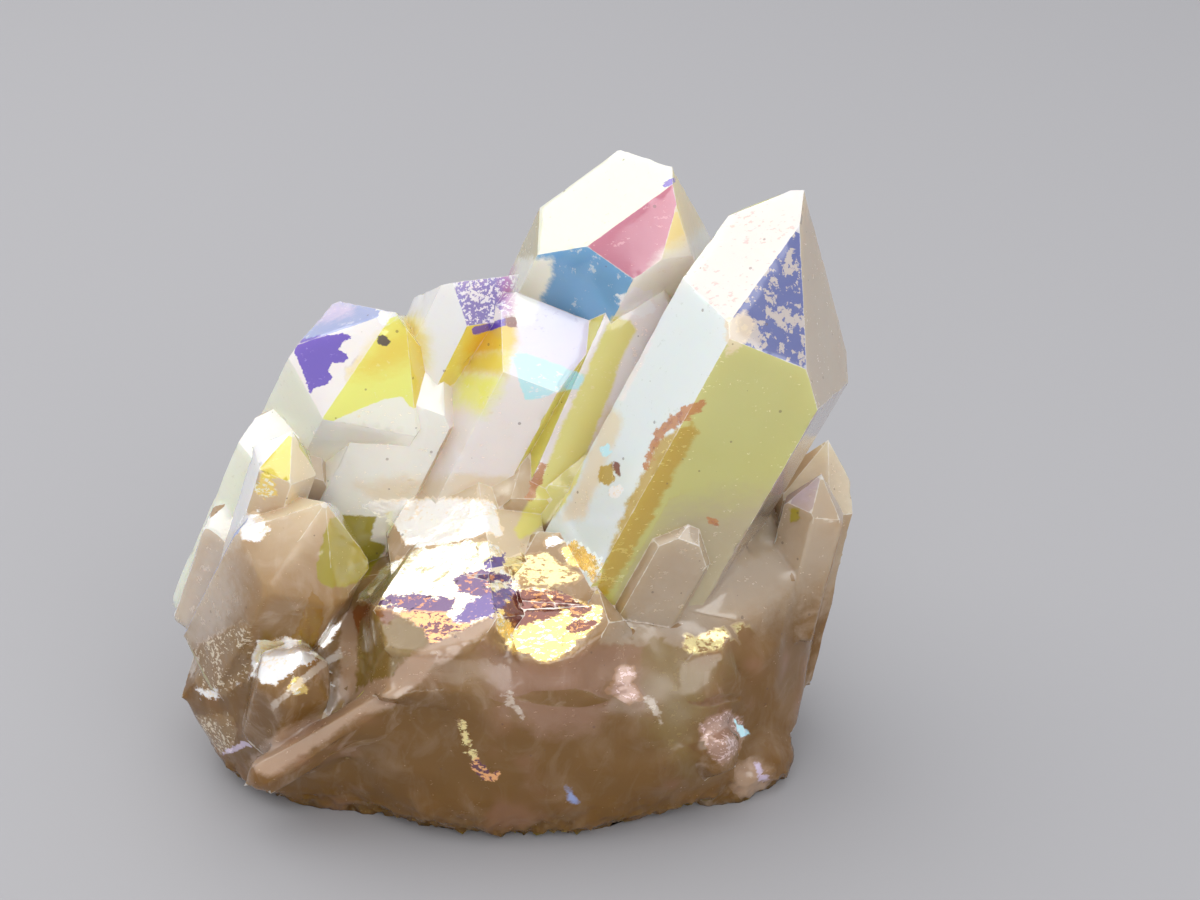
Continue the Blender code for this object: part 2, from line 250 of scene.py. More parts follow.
# Patches: an outline of picture points, its film, how soft its edge is and how ragged.
PATCHES = (
    ("violet patch", "deep violet", 0.03, 0.32,
     ((294, 341), (312, 336), (342, 333), (352, 337), (344, 342), (340, 350), (350, 356), (342, 361),
      (332, 364), (328, 372), (334, 378), (322, 385), (310, 393), (302, 372), (294, 352))),
    ("lilac end of the top face", "lilac", 0.5, 0.4,
     ((316, 322), (322, 310), (334, 302), (352, 302), (352, 312), (330, 320))),
    ("white streak on the top face", "white", 0.05, 0.5,
     ((377, 302), (392, 308), (400, 314), (390, 322), (380, 323), (378, 312))),
    ("gold corner of the left point", "golden", 1.1, 0.5,
     ((400, 318), (414, 318), (424, 340), (424, 362), (402, 364), (374, 374), (350, 374), (372, 350),
      (384, 334))),
    ("pale foot of the gold face", "ivory", 0.05, 0.12,
     ((312, 431), (345, 415), (385, 399), (403, 397), (412, 410), (421, 404), (428, 420), (424, 446),
      (350, 440), (316, 440))),
    ("orange top of the chisel's side", "orange gold", 0.4, 0.2,
     ((473, 331), (506, 321), (516, 324), (518, 344), (510, 352), (470, 356), (464, 352))),
    ("gold of the chisel's side", "golden", 0.7, 0.3, ((463, 353), (518, 345), (505, 377), (461, 373))),
    ("lime below the gold", "chartreuse", 0.9, 0.4, ((460, 371), (505, 376), (484, 413), (453, 402))),
    ("pale left end of the blue face", "pale straw", 0.3, 0.4,
     ((516, 258), (552, 258), (552, 275), (541, 300), (530, 324), (502, 324))),
    ("ice blue foot of the lavender face", "ice blue", 0.06, 0.15,
     ((512, 354), (525, 353), (585, 375), (580, 388), (560, 392), (545, 397), (526, 401), (520, 385))),
    ("pale foot of the tan face", "pale straw", 0.7, 0.3,
     ((644, 296), (656, 262), (668, 250), (692, 236), (724, 211), (728, 222), (700, 260), (684, 282),
      (660, 300))),
    ("tan blocks of the front side", "sandy", 0.25, 0.25,
     ((452, 474), (508, 476), (510, 494), (455, 492))),
    ("tan foot of the long wall", "sandy", 0.6, 0.4,
     ((356, 486), (400, 477), (450, 478), (500, 492), (490, 502), (380, 502))),
    ("straw strip", "straw", 0.15, 0.2,
     ((612, 316), (630, 321), (637, 330), (625, 352), (612, 392), (606, 402), (592, 440), (578, 478),
      (566, 502), (548, 522), (520, 540), (514, 530), (530, 500), (545, 470), (565, 420), (585, 375),
      (598, 345))),
    ("tan side of the strip", "sandy", 0.3, 0.3,
     ((608, 404), (624, 420), (612, 450), (596, 490), (584, 520), (560, 520), (580, 480), (594, 440))),
    ("beige corner of the blue face", "sandy", 0.15, 0.5,
     ((726, 316), (746, 312), (757, 322), (750, 340), (736, 352), (726, 354))),
    ("tan below the sage side", "beige", 2.2, 0.8,
     ((640, 560), (672, 508), (740, 500), (800, 492), (838, 440), (850, 570), (700, 650), (596, 650))),
    ("ochre strip", "ochre", 0.2, 0.4,
     ((655, 442), (672, 432), (692, 423), (698, 430), (688, 452), (670, 482), (650, 522), (625, 567),
      (606, 596), (594, 592), (608, 555), (628, 500), (645, 470))),
    # Painted reflection: the band is painted white where the key light's reflection is blocked.
    ("white band on the ledge", "mirror white", 0.06, 0.35,
     ((362, 506), (380, 502), (405, 498), (440, 496), (462, 496), (482, 498), (493, 504), (498, 516),
      (501, 530), (504, 538), (488, 532), (470, 539), (440, 544), (420, 546), (405, 544), (401, 534),
      (394, 524), (386, 517), (374, 511))),
    ("gold face of the ledge", "mirror cream", 0.05, 0.3,
     ((425, 548), (440, 546), (470, 541), (486, 540), (498, 548), (506, 560), (503, 565), (521, 590),
      (511, 602), (498, 612), (470, 626), (432, 642), (426, 628), (400, 615), (378, 607), (358, 600),
      (372, 580), (385, 566), (400, 558), (412, 552))),
    ("gold face behind", "mirror straw", 0.06, 0.4,
     ((503, 560), (520, 555), (545, 552), (556, 560), (570, 569), (583, 575), (575, 581), (560, 585),
      (540, 585), (524, 588), (517, 582), (506, 568))),
    ("gold bit at the back", "mirror gold", 0.05, 0.5,
     ((562, 545), (575, 541), (586, 550), (600, 560), (602, 578), (594, 584), (588, 572), (578, 568),
      (566, 560))),
    ("white bit at the back", "mirror white", 0.05, 0.4,
     ((544, 541), (556, 534), (562, 542), (548, 546))),
    ("gold face in front", "mirror gold", 0.05, 0.35,
     ((494, 620), (500, 608), (515, 592), (530, 587), (546, 589), (562, 594), (582, 601), (602, 608),
      (603, 616), (597, 624), (588, 634), (577, 642), (571, 652), (559, 657), (547, 664), (538, 661),
      (530, 653), (512, 651), (504, 640), (498, 630))),
    ("glitter on the right ledge face", "mirror straw", 0.08, 0.6,
     ((659, 627), (680, 621), (715, 619), (742, 618), (747, 626), (731, 633), (723, 646), (705, 652),
      (684, 651), (672, 640))),
    ("olive patch", "olive", 0.1, 0.2,
     ((342, 514), (376, 517), (373, 530), (371, 540), (385, 546), (384, 553), (373, 566), (369, 576),
      (356, 583), (345, 587), (329, 587), (317, 579), (317, 566), (321, 548), (325, 530), (330, 519))),
    ("amber strip", "amber", 0.08, 0.15,
     ((312, 591), (318, 597), (324, 605), (323, 618), (319, 636), (313, 647), (300, 643), (290, 637),
      (299, 624), (305, 607))),
    ("white glitter on the low tooth", "mirror white", 0.06, 0.45,
     ((251, 656), (258, 642), (270, 641), (285, 636), (301, 642), (311, 650), (318, 658), (306, 665),
      (296, 669), (285, 677), (276, 685), (262, 682), (252, 676))),
    ("gold bit below it", "mirror gold", 0.05, 0.4,
     ((284, 692), (292, 682), (303, 679), (309, 693), (296, 696))),
    ("white bits beside it", "mirror white", 0.05, 0.4,
     ((317, 645), (325, 630), (337, 622), (339, 630), (331, 641), (322, 650))),
    ("glitter on the left edge", "glittery brown", 0.5, 1.0,
     ((196, 642), (215, 632), (245, 624), (254, 640), (250, 678), (226, 692), (206, 698), (194, 682))),
    ("white bit on the left edge", "mirror white", 0.05, 0.6,
     ((196, 690), (210, 683), (232, 681), (240, 684), (222, 691), (214, 699), (202, 698))),
    ("milky streak on the left edge", "milky", 0.4, 0.8,
     ((182, 668), (196, 656), (214, 640), (212, 652), (200, 664), (192, 676))),
    ("glitter at the left foot", "glittery brown", 0.4, 0.9,
     ((196, 720), (214, 714), (234, 720), (238, 736), (232, 752), (208, 750), (198, 736))),
    ("white glitter on the block", "mirror white", 0.05, 0.6,
     ((237, 526), (245, 514), (256, 512), (262, 522), (268, 530), (262, 540), (250, 539), (240, 541))),
    ("milky streak down the edge", "milky", 0.5, 0.7,
     ((226, 536), (240, 528), (238, 548), (222, 560), (208, 576), (198, 592), (192, 588), (200, 566),
      (212, 548))),
    ("pale patch of the left side", "milky", 1.4, 0.8,
     ((186, 600), (202, 575), (236, 548), (238, 600), (226, 636), (196, 650), (184, 640))),
    ("olive brown face", "moss", 0.15, 0.3,
     ((358, 640), (372, 612), (396, 612), (421, 630), (428, 642), (412, 653), (390, 667), (372, 685),
      (357, 692))),
    ("pale strip", "pale band", 0.2, 0.2,
     ((338, 616), (354, 608), (357, 640), (357, 692), (352, 706), (339, 706))),
    ("pale band", "pale band", 0.25, 0.25,
     ((248, 764), (262, 744), (290, 727), (330, 711), (357, 691), (390, 668), (430, 643), (470, 626),
      (500, 612), (522, 592), (500, 622), (470, 642), (450, 661), (432, 669), (420, 686), (400, 701),
      (385, 709), (365, 713), (345, 725), (330, 737), (310, 749), (290, 763), (272, 776), (254, 774))),
    ("blush below the gold", "blush", 1.0, 0.8,
     ((480, 640), (512, 655), (545, 668), (575, 655), (605, 640), (640, 650), (610, 690), (590, 730),
      (540, 740), (500, 700))),
    ("moss on the right", "moss", 1.4, 0.9,
     ((640, 600), (690, 655), (735, 655), (700, 720), (690, 770), (660, 740), (640, 690))),
    ("lilac patch", "pink glitter", 0.25, 0.5,
     ((603, 676), (611, 662), (623, 676), (633, 690), (640, 701), (620, 702), (608, 690))),
    ("foot bud", "pink glitter", 0.3, 0.4,
     ((700, 730), (710, 712), (730, 706), (743, 720), (747, 736), (738, 752), (722, 766), (708, 752))),
    ("pale lump", "pale band", 0.6, 0.4,
     ((732, 772), (752, 758), (770, 770), (772, 796), (750, 803), (734, 796))),
)

# Marks lie over the patches.
MARKS = (
    ("dark chip near the top", "dark", 0.04, 0.25,
     ((376, 337), (384, 334), (392, 341), (387, 347), (379, 343))),
    ("violet mark", "deep violet", 0.03, 0.2,
     ((661, 183), (668, 179), (678, 177), (673, 184), (665, 189))),
    ("violet strip", "deep violet", 0.04, 0.1, ((472, 328), (505, 318), (507, 325), (473, 336))),
    ("red bit", "dark red", 0.05, 0.15, ((505, 318), (515, 315), (518, 328), (507, 327))),
    ("rosy side of the speckled face", "rosy speckle", 0.6, 0.4,
     ((500, 268), (514, 266), (514, 314), (503, 318))),
    ("white round the chip", "white", 0.15, 0.6,
     ((618, 296), (634, 288), (652, 290), (656, 312), (640, 320), (622, 310))),
    ("silvery chip", "silver", 0.05, 0.3,
     ((631, 299), (640, 293), (648, 300), (649, 310), (640, 316), (633, 309))),
    ("pale edge right of the strip", "shell", 0.15, 0.3,
     ((640, 326), (657, 330), (642, 366), (625, 399), (609, 401), (620, 362))),
    ("rust on the strip's edge", "rust", 0.05, 0.4,
     ((525, 498), (531, 480), (541, 462), (547, 466), (539, 488), (531, 501))),
    ("rusty rim", "rust", 0.08, 0.5,
     ((642, 470), (648, 450), (655, 431), (668, 417), (690, 405), (705, 397), (707, 403), (700, 413),
      (680, 424), (667, 432), (657, 444), (648, 470))),
    ("amber bit", "ochre", 0.08, 0.3, ((598, 468), (611, 462), (615, 480), (606, 486), (599, 480))),
    ("dark red bit", "dark red", 0.05, 0.2, ((613, 460), (620, 463), (620, 476), (614, 474))),
    ("blue glint", "ice blue", 0.05, 0.3, ((599, 448), (608, 444), (614, 452), (604, 459))),
    ("white glint", "mirror white", 0.05, 0.2,
     ((609, 488), (620, 484), (625, 491), (617, 499), (609, 496))),
    ("gold specks on the white tooth", "mirror gold", 0.1, 0.5,
     ((254, 484), (264, 476), (274, 480), (277, 494), (264, 499), (254, 492))),
    ("gold of the white tooth", "golden", 0.1, 0.3,
     ((268, 464), (288, 445), (292, 450), (284, 474), (274, 480), (260, 478))),
    ("indigo of the gold face", "mirror indigo", 0.04, 0.6,
     ((484, 563), (505, 555), (503, 567), (488, 570))),
    ("upper violet of the gold face", "mirror violet", 0.05, 0.8,
     ((456, 576), (470, 571), (506, 573), (508, 580), (488, 584), (492, 594), (474, 598), (458, 590))),
    ("right violet of the gold face", "mirror indigo", 0.05, 0.7,
     ((470, 600), (490, 592), (508, 587), (520, 590), (510, 602), (492, 614), (468, 624), (450, 622),
      (462, 612))),
    ("left violet of the gold face", "mirror violet", 0.05, 0.9,
     ((376, 602), (390, 596), (420, 594), (452, 600), (456, 608), (440, 614), (410, 612), (380, 607))),
    ("ember rim of the gold face", "mirror ember", 0.08, 0.5,
     ((376, 606), (402, 612), (420, 608), (446, 612), (456, 624), (478, 620), (462, 630), (430, 643),
      (424, 628), (402, 616))),
    ("rust of the front face", "mirror rust", 0.06, 0.5,
     ((503, 606), (514, 594), (530, 589), (546, 593), (556, 606), (568, 612), (548, 618), (532, 624),
      (514, 626), (506, 618))),
    ("rust strip of the front face", "mirror rust", 0.05, 0.6,
     ((548, 590), (572, 598), (592, 606), (590, 613), (574, 614), (558, 604))),
    ("rust at the right of the front face", "mirror rust", 0.05, 0.6,
     ((566, 628), (580, 620), (596, 618), (594, 626), (576, 636))),
    ("cinnamon bit", "cinnamon", 0.05, 0.15,
     ((353, 613), (360, 605), (371, 603), (366, 613), (362, 622), (358, 634), (354, 624))),
    ("cinnamon bit beside it", "cinnamon", 0.2, 0.3, ((374, 612), (390, 608), (398, 616), (386, 624))),
    ("line across the left foot", "milky", 0.08, 0.2,
     ((270, 704), (290, 688), (318, 663), (340, 647), (341, 655), (318, 672), (292, 695), (272, 711))),
    ("lilac line at the left foot", "lilac", 0.06, 0.2,
     ((216, 757), (228, 748), (250, 740), (250, 746), (232, 753))),
    ("glint line", "mirror straw", 0.04, 0.95,
     ((459, 718), (466, 720), (474, 744), (480, 762), (473, 764), (466, 746))),
    ("orange glint line", "mirror ember", 0.04, 0.6,
     ((472, 760), (482, 764), (494, 775), (504, 778), (500, 784), (484, 780), (474, 770))),
    ("pale line on the root", "milky", 0.1, 0.4, ((504, 694), (510, 692), (526, 718), (522, 724))),
    ("pale line down from the lilac patch", "milky", 0.1, 0.4,
     ((634, 696), (650, 698), (662, 712), (668, 728), (660, 722), (648, 706))),
    ("blue glint on the bud", "ice blue", 0.06, 0.2, ((737, 720), (747, 728), (752, 737), (742, 738))),
    ("lilac glint on the lump", "lilac", 0.1, 0.3,
     ((754, 760), (762, 766), (770, 778), (764, 784), (756, 772))),
    ("light blue glint at the foot", "powder blue", 0.12, 0.3,
     ((563, 786), (572, 790), (579, 802), (570, 803))),
    ("gold glint of the right tooth", "olive", 0.1, 0.2,
     ((789, 508), (800, 508), (800, 519), (791, 523))),
    ("orange tip of the ridge", "rust", 0.05, 0.3, ((706, 517), (718, 518), (719, 525), (708, 523))),
)

# Parts of the picture where the cluster's folds are worn round: how many rounds, how deep
# behind what the camera sees, in mm, and where.
SOFT_ZONES = (
    (4, 0.3, ((150, 520), (236, 500), (330, 560), (345, 640), (330, 700), (250, 700), (150, 700))),
    (5, 0.3,
     ((600, 640), (660, 600), (720, 560), (800, 520), (870, 520), (870, 860), (150, 860), (150, 690),
      (250, 700), (330, 690), (355, 620))),
    (20, 1.5, ((334, 600), (368, 588), (372, 606), (384, 660), (372, 706), (330, 708))),
    (105, 4.0,
     ((357, 648), (430, 654), (480, 640), (500, 654), (545, 666), (575, 658), (600, 636), (640, 640),
      (655, 660), (720, 656), (770, 700), (600, 800), (440, 800), (330, 790), (300, 770), (345, 732),
      (385, 712))),
    (4, 0.3,
     ((248, 764), (262, 742), (330, 708), (390, 690), (400, 704), (345, 727), (300, 762), (254, 776))),
)


def towards(lean, heading):
    """Unit vector leant from upright towards a heading, both in degrees."""
    lean, heading = math.radians(lean), math.radians(heading)
    out = math.sin(lean)
    return np.array([out * math.cos(heading), out * math.sin(heading), math.cos(lean)])


def unit(vectors):
    """Each row scaled to length one; a row of zeros stays as it is."""
    length = np.linalg.norm(vectors, axis=-1, keepdims=True)
    return vectors / np.where(length > 0, length, 1)


def in_picture(points):
    """Where points, in mm, appear in the picture: the pinhole rule, offset over distance
    times the lens over the sensor width, in pixels from the middle."""
    from_eye = points - EYE
    zoom = PICTURE_WIDTH * LENS / SENSOR_WIDTH / (from_eye @ FORWARD)
    across = PICTURE_WIDTH / 2 + zoom * (from_eye @ RIGHT)
    down = PICTURE_HEIGHT / 2 - zoom * (from_eye @ UP)
    return np.stack([across, down], axis=-1)


def sight_line(spot):
    """Direction from the eye through a picture point: in_picture turned round."""
    across = (spot[0] - PICTURE_WIDTH / 2) * SENSOR_WIDTH / LENS / PICTURE_WIDTH
    down = (spot[1] - PICTURE_HEIGHT / 2) * SENSOR_WIDTH / LENS / PICTURE_WIDTH
    return unit(FORWARD + across * RIGHT - down * UP)


def lattice(cells, seed):
    """A number from 0 to 1 for each whole-number cell: a mixed sum of its three indices,
    through a sine and a large factor, of which the part after the point is kept."""
    mixed = cells @ np.array([127.1, 311.7, 74.7]) + seed * 19.19
    return np.modf(np.abs(np.sin(mixed)) * 43758.5453)[0]


def smooth_noise(points, size, seed):
    """Value noise from -1 to 1: the lattice numbers at the eight corners of a point's cell,
    blended along each axis by 3t^2 - 2t^3."""
    scaled = points / size
    cell = np.floor(scaled)
    part = scaled - cell
    part = part * part * (3 - 2 * part)
    total = np.zeros(len(points))
    for corner in product((0, 1), repeat=3):
        weight = np.prod(np.where(corner, part, 1 - part), axis=1)
        total += weight * lattice(cell + corner, seed)
    return 2 * total - 1


def flakes(points, size, seed):
    """Height of a crust of tilted flakes, about -1 to 1: a point takes the plane of the
    nearest of one jittered seed per cell, a random height plus a random slope times the
    way from that seed."""
    scaled = points / size
    cell = np.floor(scaled)
    nearest = np.full(len(points), np.inf)
    height = np.zeros(len(points))
    for step in product((-1, 0, 1), repeat=3):
        corner = cell + step
        jitter = np.stack([lattice(corner, seed + k) for k in (1, 2, 3)], axis=1)
        slope = np.stack([lattice(corner, seed + k) for k in (4, 5, 6)], axis=1) - 0.5
        offset = scaled - corner - jitter
        distance = (offset ** 2).sum(axis=1)
        plane = lattice(corner, seed + 7) - 0.5 + 1.6 * (offset * slope).sum(axis=1)
        closer = distance < nearest
        height = np.where(closer, plane, height)
        nearest = np.where(closer, distance, nearest)
    return height


def inside_distance(spots, outline):
    """Signed distance from spots to an outline, positive inside: the least distance to a
    side, with its sign from the number of sides that a level line from the spot crosses."""
    corners = np.array(outline, float)
    nearest = np.full(len(spots), np.inf)
    inside = np.zeros(len(spots), bool)
    for start, end in zip(corners, np.roll(corners, -1, axis=0)):
        side = end - start
        share = np.clip(((spots - start) @ side) / (side @ side), 0, 1)
        nearest = np.minimum(nearest, np.linalg.norm(spots - start - share[:, None] * side, axis=1))
        spans = (start[1] > spots[:, 1]) != (end[1] > spots[:, 1])
        rise = side[1] if side[1] else 1.0
        crossing = start[0] + (spots[:, 1] - start[1]) * side[0] / rise
        inside ^= spans & (spots[:, 0] < crossing)
    return np.where(inside, nearest, -nearest)


def flat_faces(cad):
    """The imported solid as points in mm, triangles, and the number of the flat face that
    each triangle lies on. Triangles that share a side and a plane are one flat face."""
    bm = bmesh.new()
    bm.from_mesh(cad.data)
    bmesh.ops.remove_doubles(bm, verts=bm.verts, dist=MERGE_GAP * MM)
    bmesh.ops.dissolve_limit(bm, angle_limit=ONE_PLANE, verts=bm.verts, edges=bm.edges)
    bmesh.ops.triangulate(bm, faces=bm.faces)
    bm.normal_update()
    bm.faces.ensure_lookup_table()
    group = [-1] * len(bm.faces)
    count = 0
    for first in bm.faces:
        if group[first.index] >= 0:
            continue
        group[first.index] = count
        waiting = [first]
        while waiting:
            face = waiting.pop()
            for edge in face.edges:
                for other in edge.link_faces:
                    if group[other.index] < 0 and other.normal.angle(first.normal, math.pi) < ONE_PLANE:
                        group[other.index] = count
                        waiting.append(other)
        count += 1
    points = np.array([vert.co for vert in bm.verts]) / MM
    triangles = np.array([[vert.index for vert in face.verts] for face in bm.faces])
    bm.free()
    return points, triangles, np.array(group)


def split_long_sides(points, triangles, owners, wanted):
    """Cuts every side longer than it should be at its middle until none is left. A
    triangle with one, two or three cut sides becomes two, three or four triangles."""
    while True:
        sides = np.stack([triangles, np.roll(triangles, -1, axis=1)], axis=2).reshape(-1, 2)
        pairs, which = np.unique(np.sort(sides, axis=1), axis=0, return_inverse=True)
        which = which.ravel()
        lengths = np.linalg.norm(points[pairs[:, 0]] - points[pairs[:, 1]], axis=1)
        long = lengths > FINEST_SIDE
        owner = np.zeros(len(pairs), int)
        owner[which] = np.repeat(owners, 3)
        long[long] = lengths[long] > wanted(points[pairs[long]].mean(axis=1), owner[long])
        if not long.any():
            return points, triangles, owners
        middle = np.full(len(pairs), -1)
        middle[long] = len(points) + np.arange(long.sum())
        points = np.concatenate([points, points[pairs[long]].mean(axis=1)])
        cuts = middle[which].reshape(-1, 3)
        made, made_owners = [], []
        for bits in product((False, True), repeat=3):
            rows = np.all((cuts >= 0) == bits, axis=1)
            if not rows.any():
                continue
            turn = turn_for(bits)
            corner = np.roll(triangles[rows], -turn, axis=1)
            cut = np.roll(cuts[rows], -turn, axis=1)
            pieces = pieces_of(corner, cut, sum(bits), points)
            made.extend(pieces)
            made_owners.extend([owners[rows]] * len(pieces))
        triangles = np.concatenate(made)
        owners = np.concatenate(made_owners)


def turn_for(bits):
    """How far to turn a triangle so that its cut sides come first."""
    turns = {(False, True, False): 1, (False, True, True): 1,
             (False, False, True): 2, (True, False, True): 2}
    return turns.get(bits, 0)


def pieces_of(corner, cut, cuts, points):
    """The triangles that one triangle with its first sides cut falls into."""
    a, b, c = corner.T
    ab, bc, ca = cut.T
    if cuts == 0:
        parts = ((a, b, c),)
    elif cuts == 1:
        parts = ((a, ab, c), (ab, b, c))
    elif cuts == 2:
        from_a = np.linalg.norm(points[a] - points[bc], axis=1)
        short = from_a < np.linalg.norm(points[ab] - points[c], axis=1)
        parts = ((ab, b, bc), (a, ab, np.where(short, bc, c)), (np.where(short, a, ab), bc, c))
    else:
        parts = ((a, ab, ca), (ab, b, bc), (ca, bc, c), (ab, bc, ca))
    return [np.stack(part, axis=1) for part in parts]


def spread(values, pairs, count):
    """The mean over each point's neighbours: sums along the sides, over how many there are."""
    total = np.zeros((count,) + values.shape[1:])
    shares = np.bincount(pairs.ravel(), minlength=count)
    np.add.at(total, pairs[:, 0], values[pairs[:, 1]])
    np.add.at(total, pairs[:, 1], values[pairs[:, 0]])
    return total / shares.reshape((-1,) + (1,) * (values.ndim - 1))


def folds_of(points, triangles, owners, face_normals):
    """Every side of the mesh, the flat faces at its two hands, the angle it folds by (0
    inside a flat face), and its length."""
    sides = np.stack([triangles, np.roll(triangles, -1, axis=1)], axis=2).reshape(-1, 2)
    side_owner = np.repeat(owners, 3)
    sides = np.sort(sides, axis=1)
    order = np.lexsort(sides.T)
    pairs = sides[order][::2]
    hands = side_owner[order].reshape(-1, 2)
    cosines = (face_normals[hands[:, 0]] * face_normals[hands[:, 1]]).sum(axis=1)
    fold = np.where(hands[:, 0] != hands[:, 1], np.arccos(np.clip(cosines, -1, 1)), 0)
    return pairs, hands, fold, np.linalg.norm(points[pairs[:, 0]] - points[pairs[:, 1]], axis=1)


class Surface:
    """The finer mesh and what is known of it: its flat faces, folds and root."""

    def __init__(self, cad):
        coarse, coarse_triangles, coarse_owners = flat_faces(cad)
        self.sight = BVHTree.FromPolygons(coarse.tolist(), coarse_triangles.tolist())
        self.coarse_owners = coarse_owners
        self.face_count = coarse_owners.max() + 1
        corners = coarse[coarse_triangles]
        across = np.cross(corners[:, 1] - corners[:, 0], corners[:, 2] - corners[:, 0])
        sums = np.zeros((self.face_count, 3))
        np.add.at(sums, coarse_owners, across)
        self.areas = np.linalg.norm(sums, axis=1) / 2
        self.face_normals = unit(sums)
        self.heights = np.zeros(self.face_count)
        np.maximum.at(self.heights, coarse_owners, corners[:, :, 2].max(axis=1))
        folds = folds_of(coarse, coarse_triangles, coarse_owners, self.face_normals)
        self.find_root(*folds[1:])
        fine_places = self.places_on_folds(coarse, *folds) + self.places_on_outlines()
        tree = KDTree(len(fine_places))
        for number, place in enumerate(fine_places):
            tree.insert(place, number)
        tree.balance()

        def wanted(middles, owner):
            """The side wanted at some places: longer the further they are from the nearest
            fold or outline, and never longer than ROOT_SIDE on the root."""
            away = np.array([tree.find(middle)[2] for middle in middles.tolist()])
            side = np.minimum(FINEST_SIDE + SIDE_GROWTH * away, LONGEST_SIDE)
            return np.where(self.rooty[owner], np.minimum(side, ROOT_SIDE), side)

        self.points, self.triangles, self.owners = split_long_sides(
            coarse, coarse_triangles, coarse_owners, wanted)
        self.pairs, self.hands, self.fold, self.lengths = folds_of(
            self.points, self.triangles, self.owners, self.face_normals)
        both = self.rooty[self.hands].all(axis=1)
        self.crisp = (self.fold > 0) & ~(both & (self.fold < CRISP_FOLD))
        self.find_soft_zones()

    def find_root(self, hands, fold, lengths):
        """A face with much of its border folded softly belongs to the rough root, since
        the faces of a crystal all meet at larger angles."""
        border = np.zeros(self.face_count)
        soft = np.zeros(self.face_count)
        folded = fold > 0
        gentle = folded & (fold < SOFT_FOLD)
        for column in (0, 1):
            np.add.at(border, hands[folded, column], lengths[folded])
            np.add.at(soft, hands[gentle, column], lengths[gentle])
        down = self.face_normals[:, 2] < -0.999
        self.rooty = (soft > SOFT_SHARE * border) & ~down
        self.foot = down & (self.heights < 0.01)

    def places_on_folds(self, points, pairs, hands, fold, lengths):
        """Places every SAMPLE_STEP along the folds between crystal faces."""
        places = []
        chosen = (fold > 0) & ~self.rooty[hands].all(axis=1) & ~self.foot[hands].any(axis=1)
        for (start, end), length in zip(points[pairs[chosen]], lengths[chosen]):
            for share in np.linspace(0, 1, int(length / SAMPLE_STEP) + 2):
                places.append((start + share * (end - start)).tolist())
        return places

    def places_on_outlines(self):
        """What the camera sees along the outlines of the patches and marks, and all over
        those that are flaky."""
        places = []
        for name, film_name, softness, raggedness, outline in PATCHES + MARKS:
            corners = np.array(outline, float)
            spots = []
            for start, end in zip(corners, np.roll(corners, -1, axis=0)):
                count = int(np.linalg.norm(end - start) / PIXELS_PER_MM / SAMPLE_STEP) + 1
                spots.extend(start + share * (end - start) for share in np.arange(count) / count)
            if FILMS[film_name]["glint"]:
                spots.extend(grid_inside(outline, SAMPLE_STEP * PIXELS_PER_MM))
            for spot in spots:
                place = self.sight.ray_cast(Vector(EYE), Vector(sight_line(spot)))[0]
                if place is not None:
                    places.append(list(place))
        return places

    def find_soft_zones(self):
        """For each point, how many rounds of smoothing it takes: those of the soft zone
        that the camera sees it in."""
        self.rounds = np.zeros(len(self.points), int)
        spots = in_picture(self.points)
        for rounds, depth, outline in SOFT_ZONES:
            inside = np.flatnonzero(inside_distance(spots, outline) > 0)
            for number in inside:
                offset = self.points[number] - EYE
                length = np.linalg.norm(offset)
                hit = self.sight.ray_cast(Vector(EYE), Vector(offset / length))[3]
                if hit is not None and hit > length - depth:
                    self.rounds[number] = rounds
        softened = (self.rounds[self.pairs] > 0).all(axis=1)
        self.crisp &= ~softened

    def seen_at(self, spot):
        """Number of the flat face at a picture point, or None where it misses."""
        triangle = self.sight.ray_cast(Vector(EYE), Vector(sight_line(spot)))[2]
        return None if triangle is None else int(self.coarse_owners[triangle])


def grid_inside(outline, step):
    """Picture points inside an outline, on a square grid."""
    corners = np.array(outline, float)
    low, high = corners.min(axis=0), corners.max(axis=0)
    across, down = np.meshgrid(np.arange(low[0] + 2, high[0], step), np.arange(low[1] + 2, high[1], step))
    grid = np.stack([across.ravel(), down.ravel()], axis=1)
    return grid[inside_distance(grid, outline) > 0]


def paint(surface):
    """Which film each flat face has, and for each layer of patches the film, edge distance,
    softness and raggedness at every corner of the mesh. Faces that look away from the
    display side draw their films by lot; the others stay bare unless they are named."""
    names = list(FILMS)
    pick = np.random.default_rng(LOT_SEED)
    draws = pick.random(surface.face_count)
    ground = np.full(surface.face_count, names.index("bare"))
    for number in range(surface.face_count):
        normal = surface.face_normals[number]
        behind = (normal[1] > FAR_TURN and surface.areas[number] > FAR_AREA
                  and surface.heights[number] > FAR_HEIGHT)
        if surface.rooty[number] or surface.foot[number] or not behind:
            continue
        options = TIP_FILMS if normal[2] > TIP_SLOPE else SIDE_FILMS
        ground[number] = names.index(options[int(draws[number] * len(options))])
    for name, spot, film_name in FACE_FILMS:
        seen = surface.seen_at(spot)
        if seen is None:
            print("no face at", name)
            continue
        ground[seen] = names.index(film_name)
    layers = [paint_layer(surface, patches, names) for patches in (PATCHES, MARKS)]
    return ground, layers


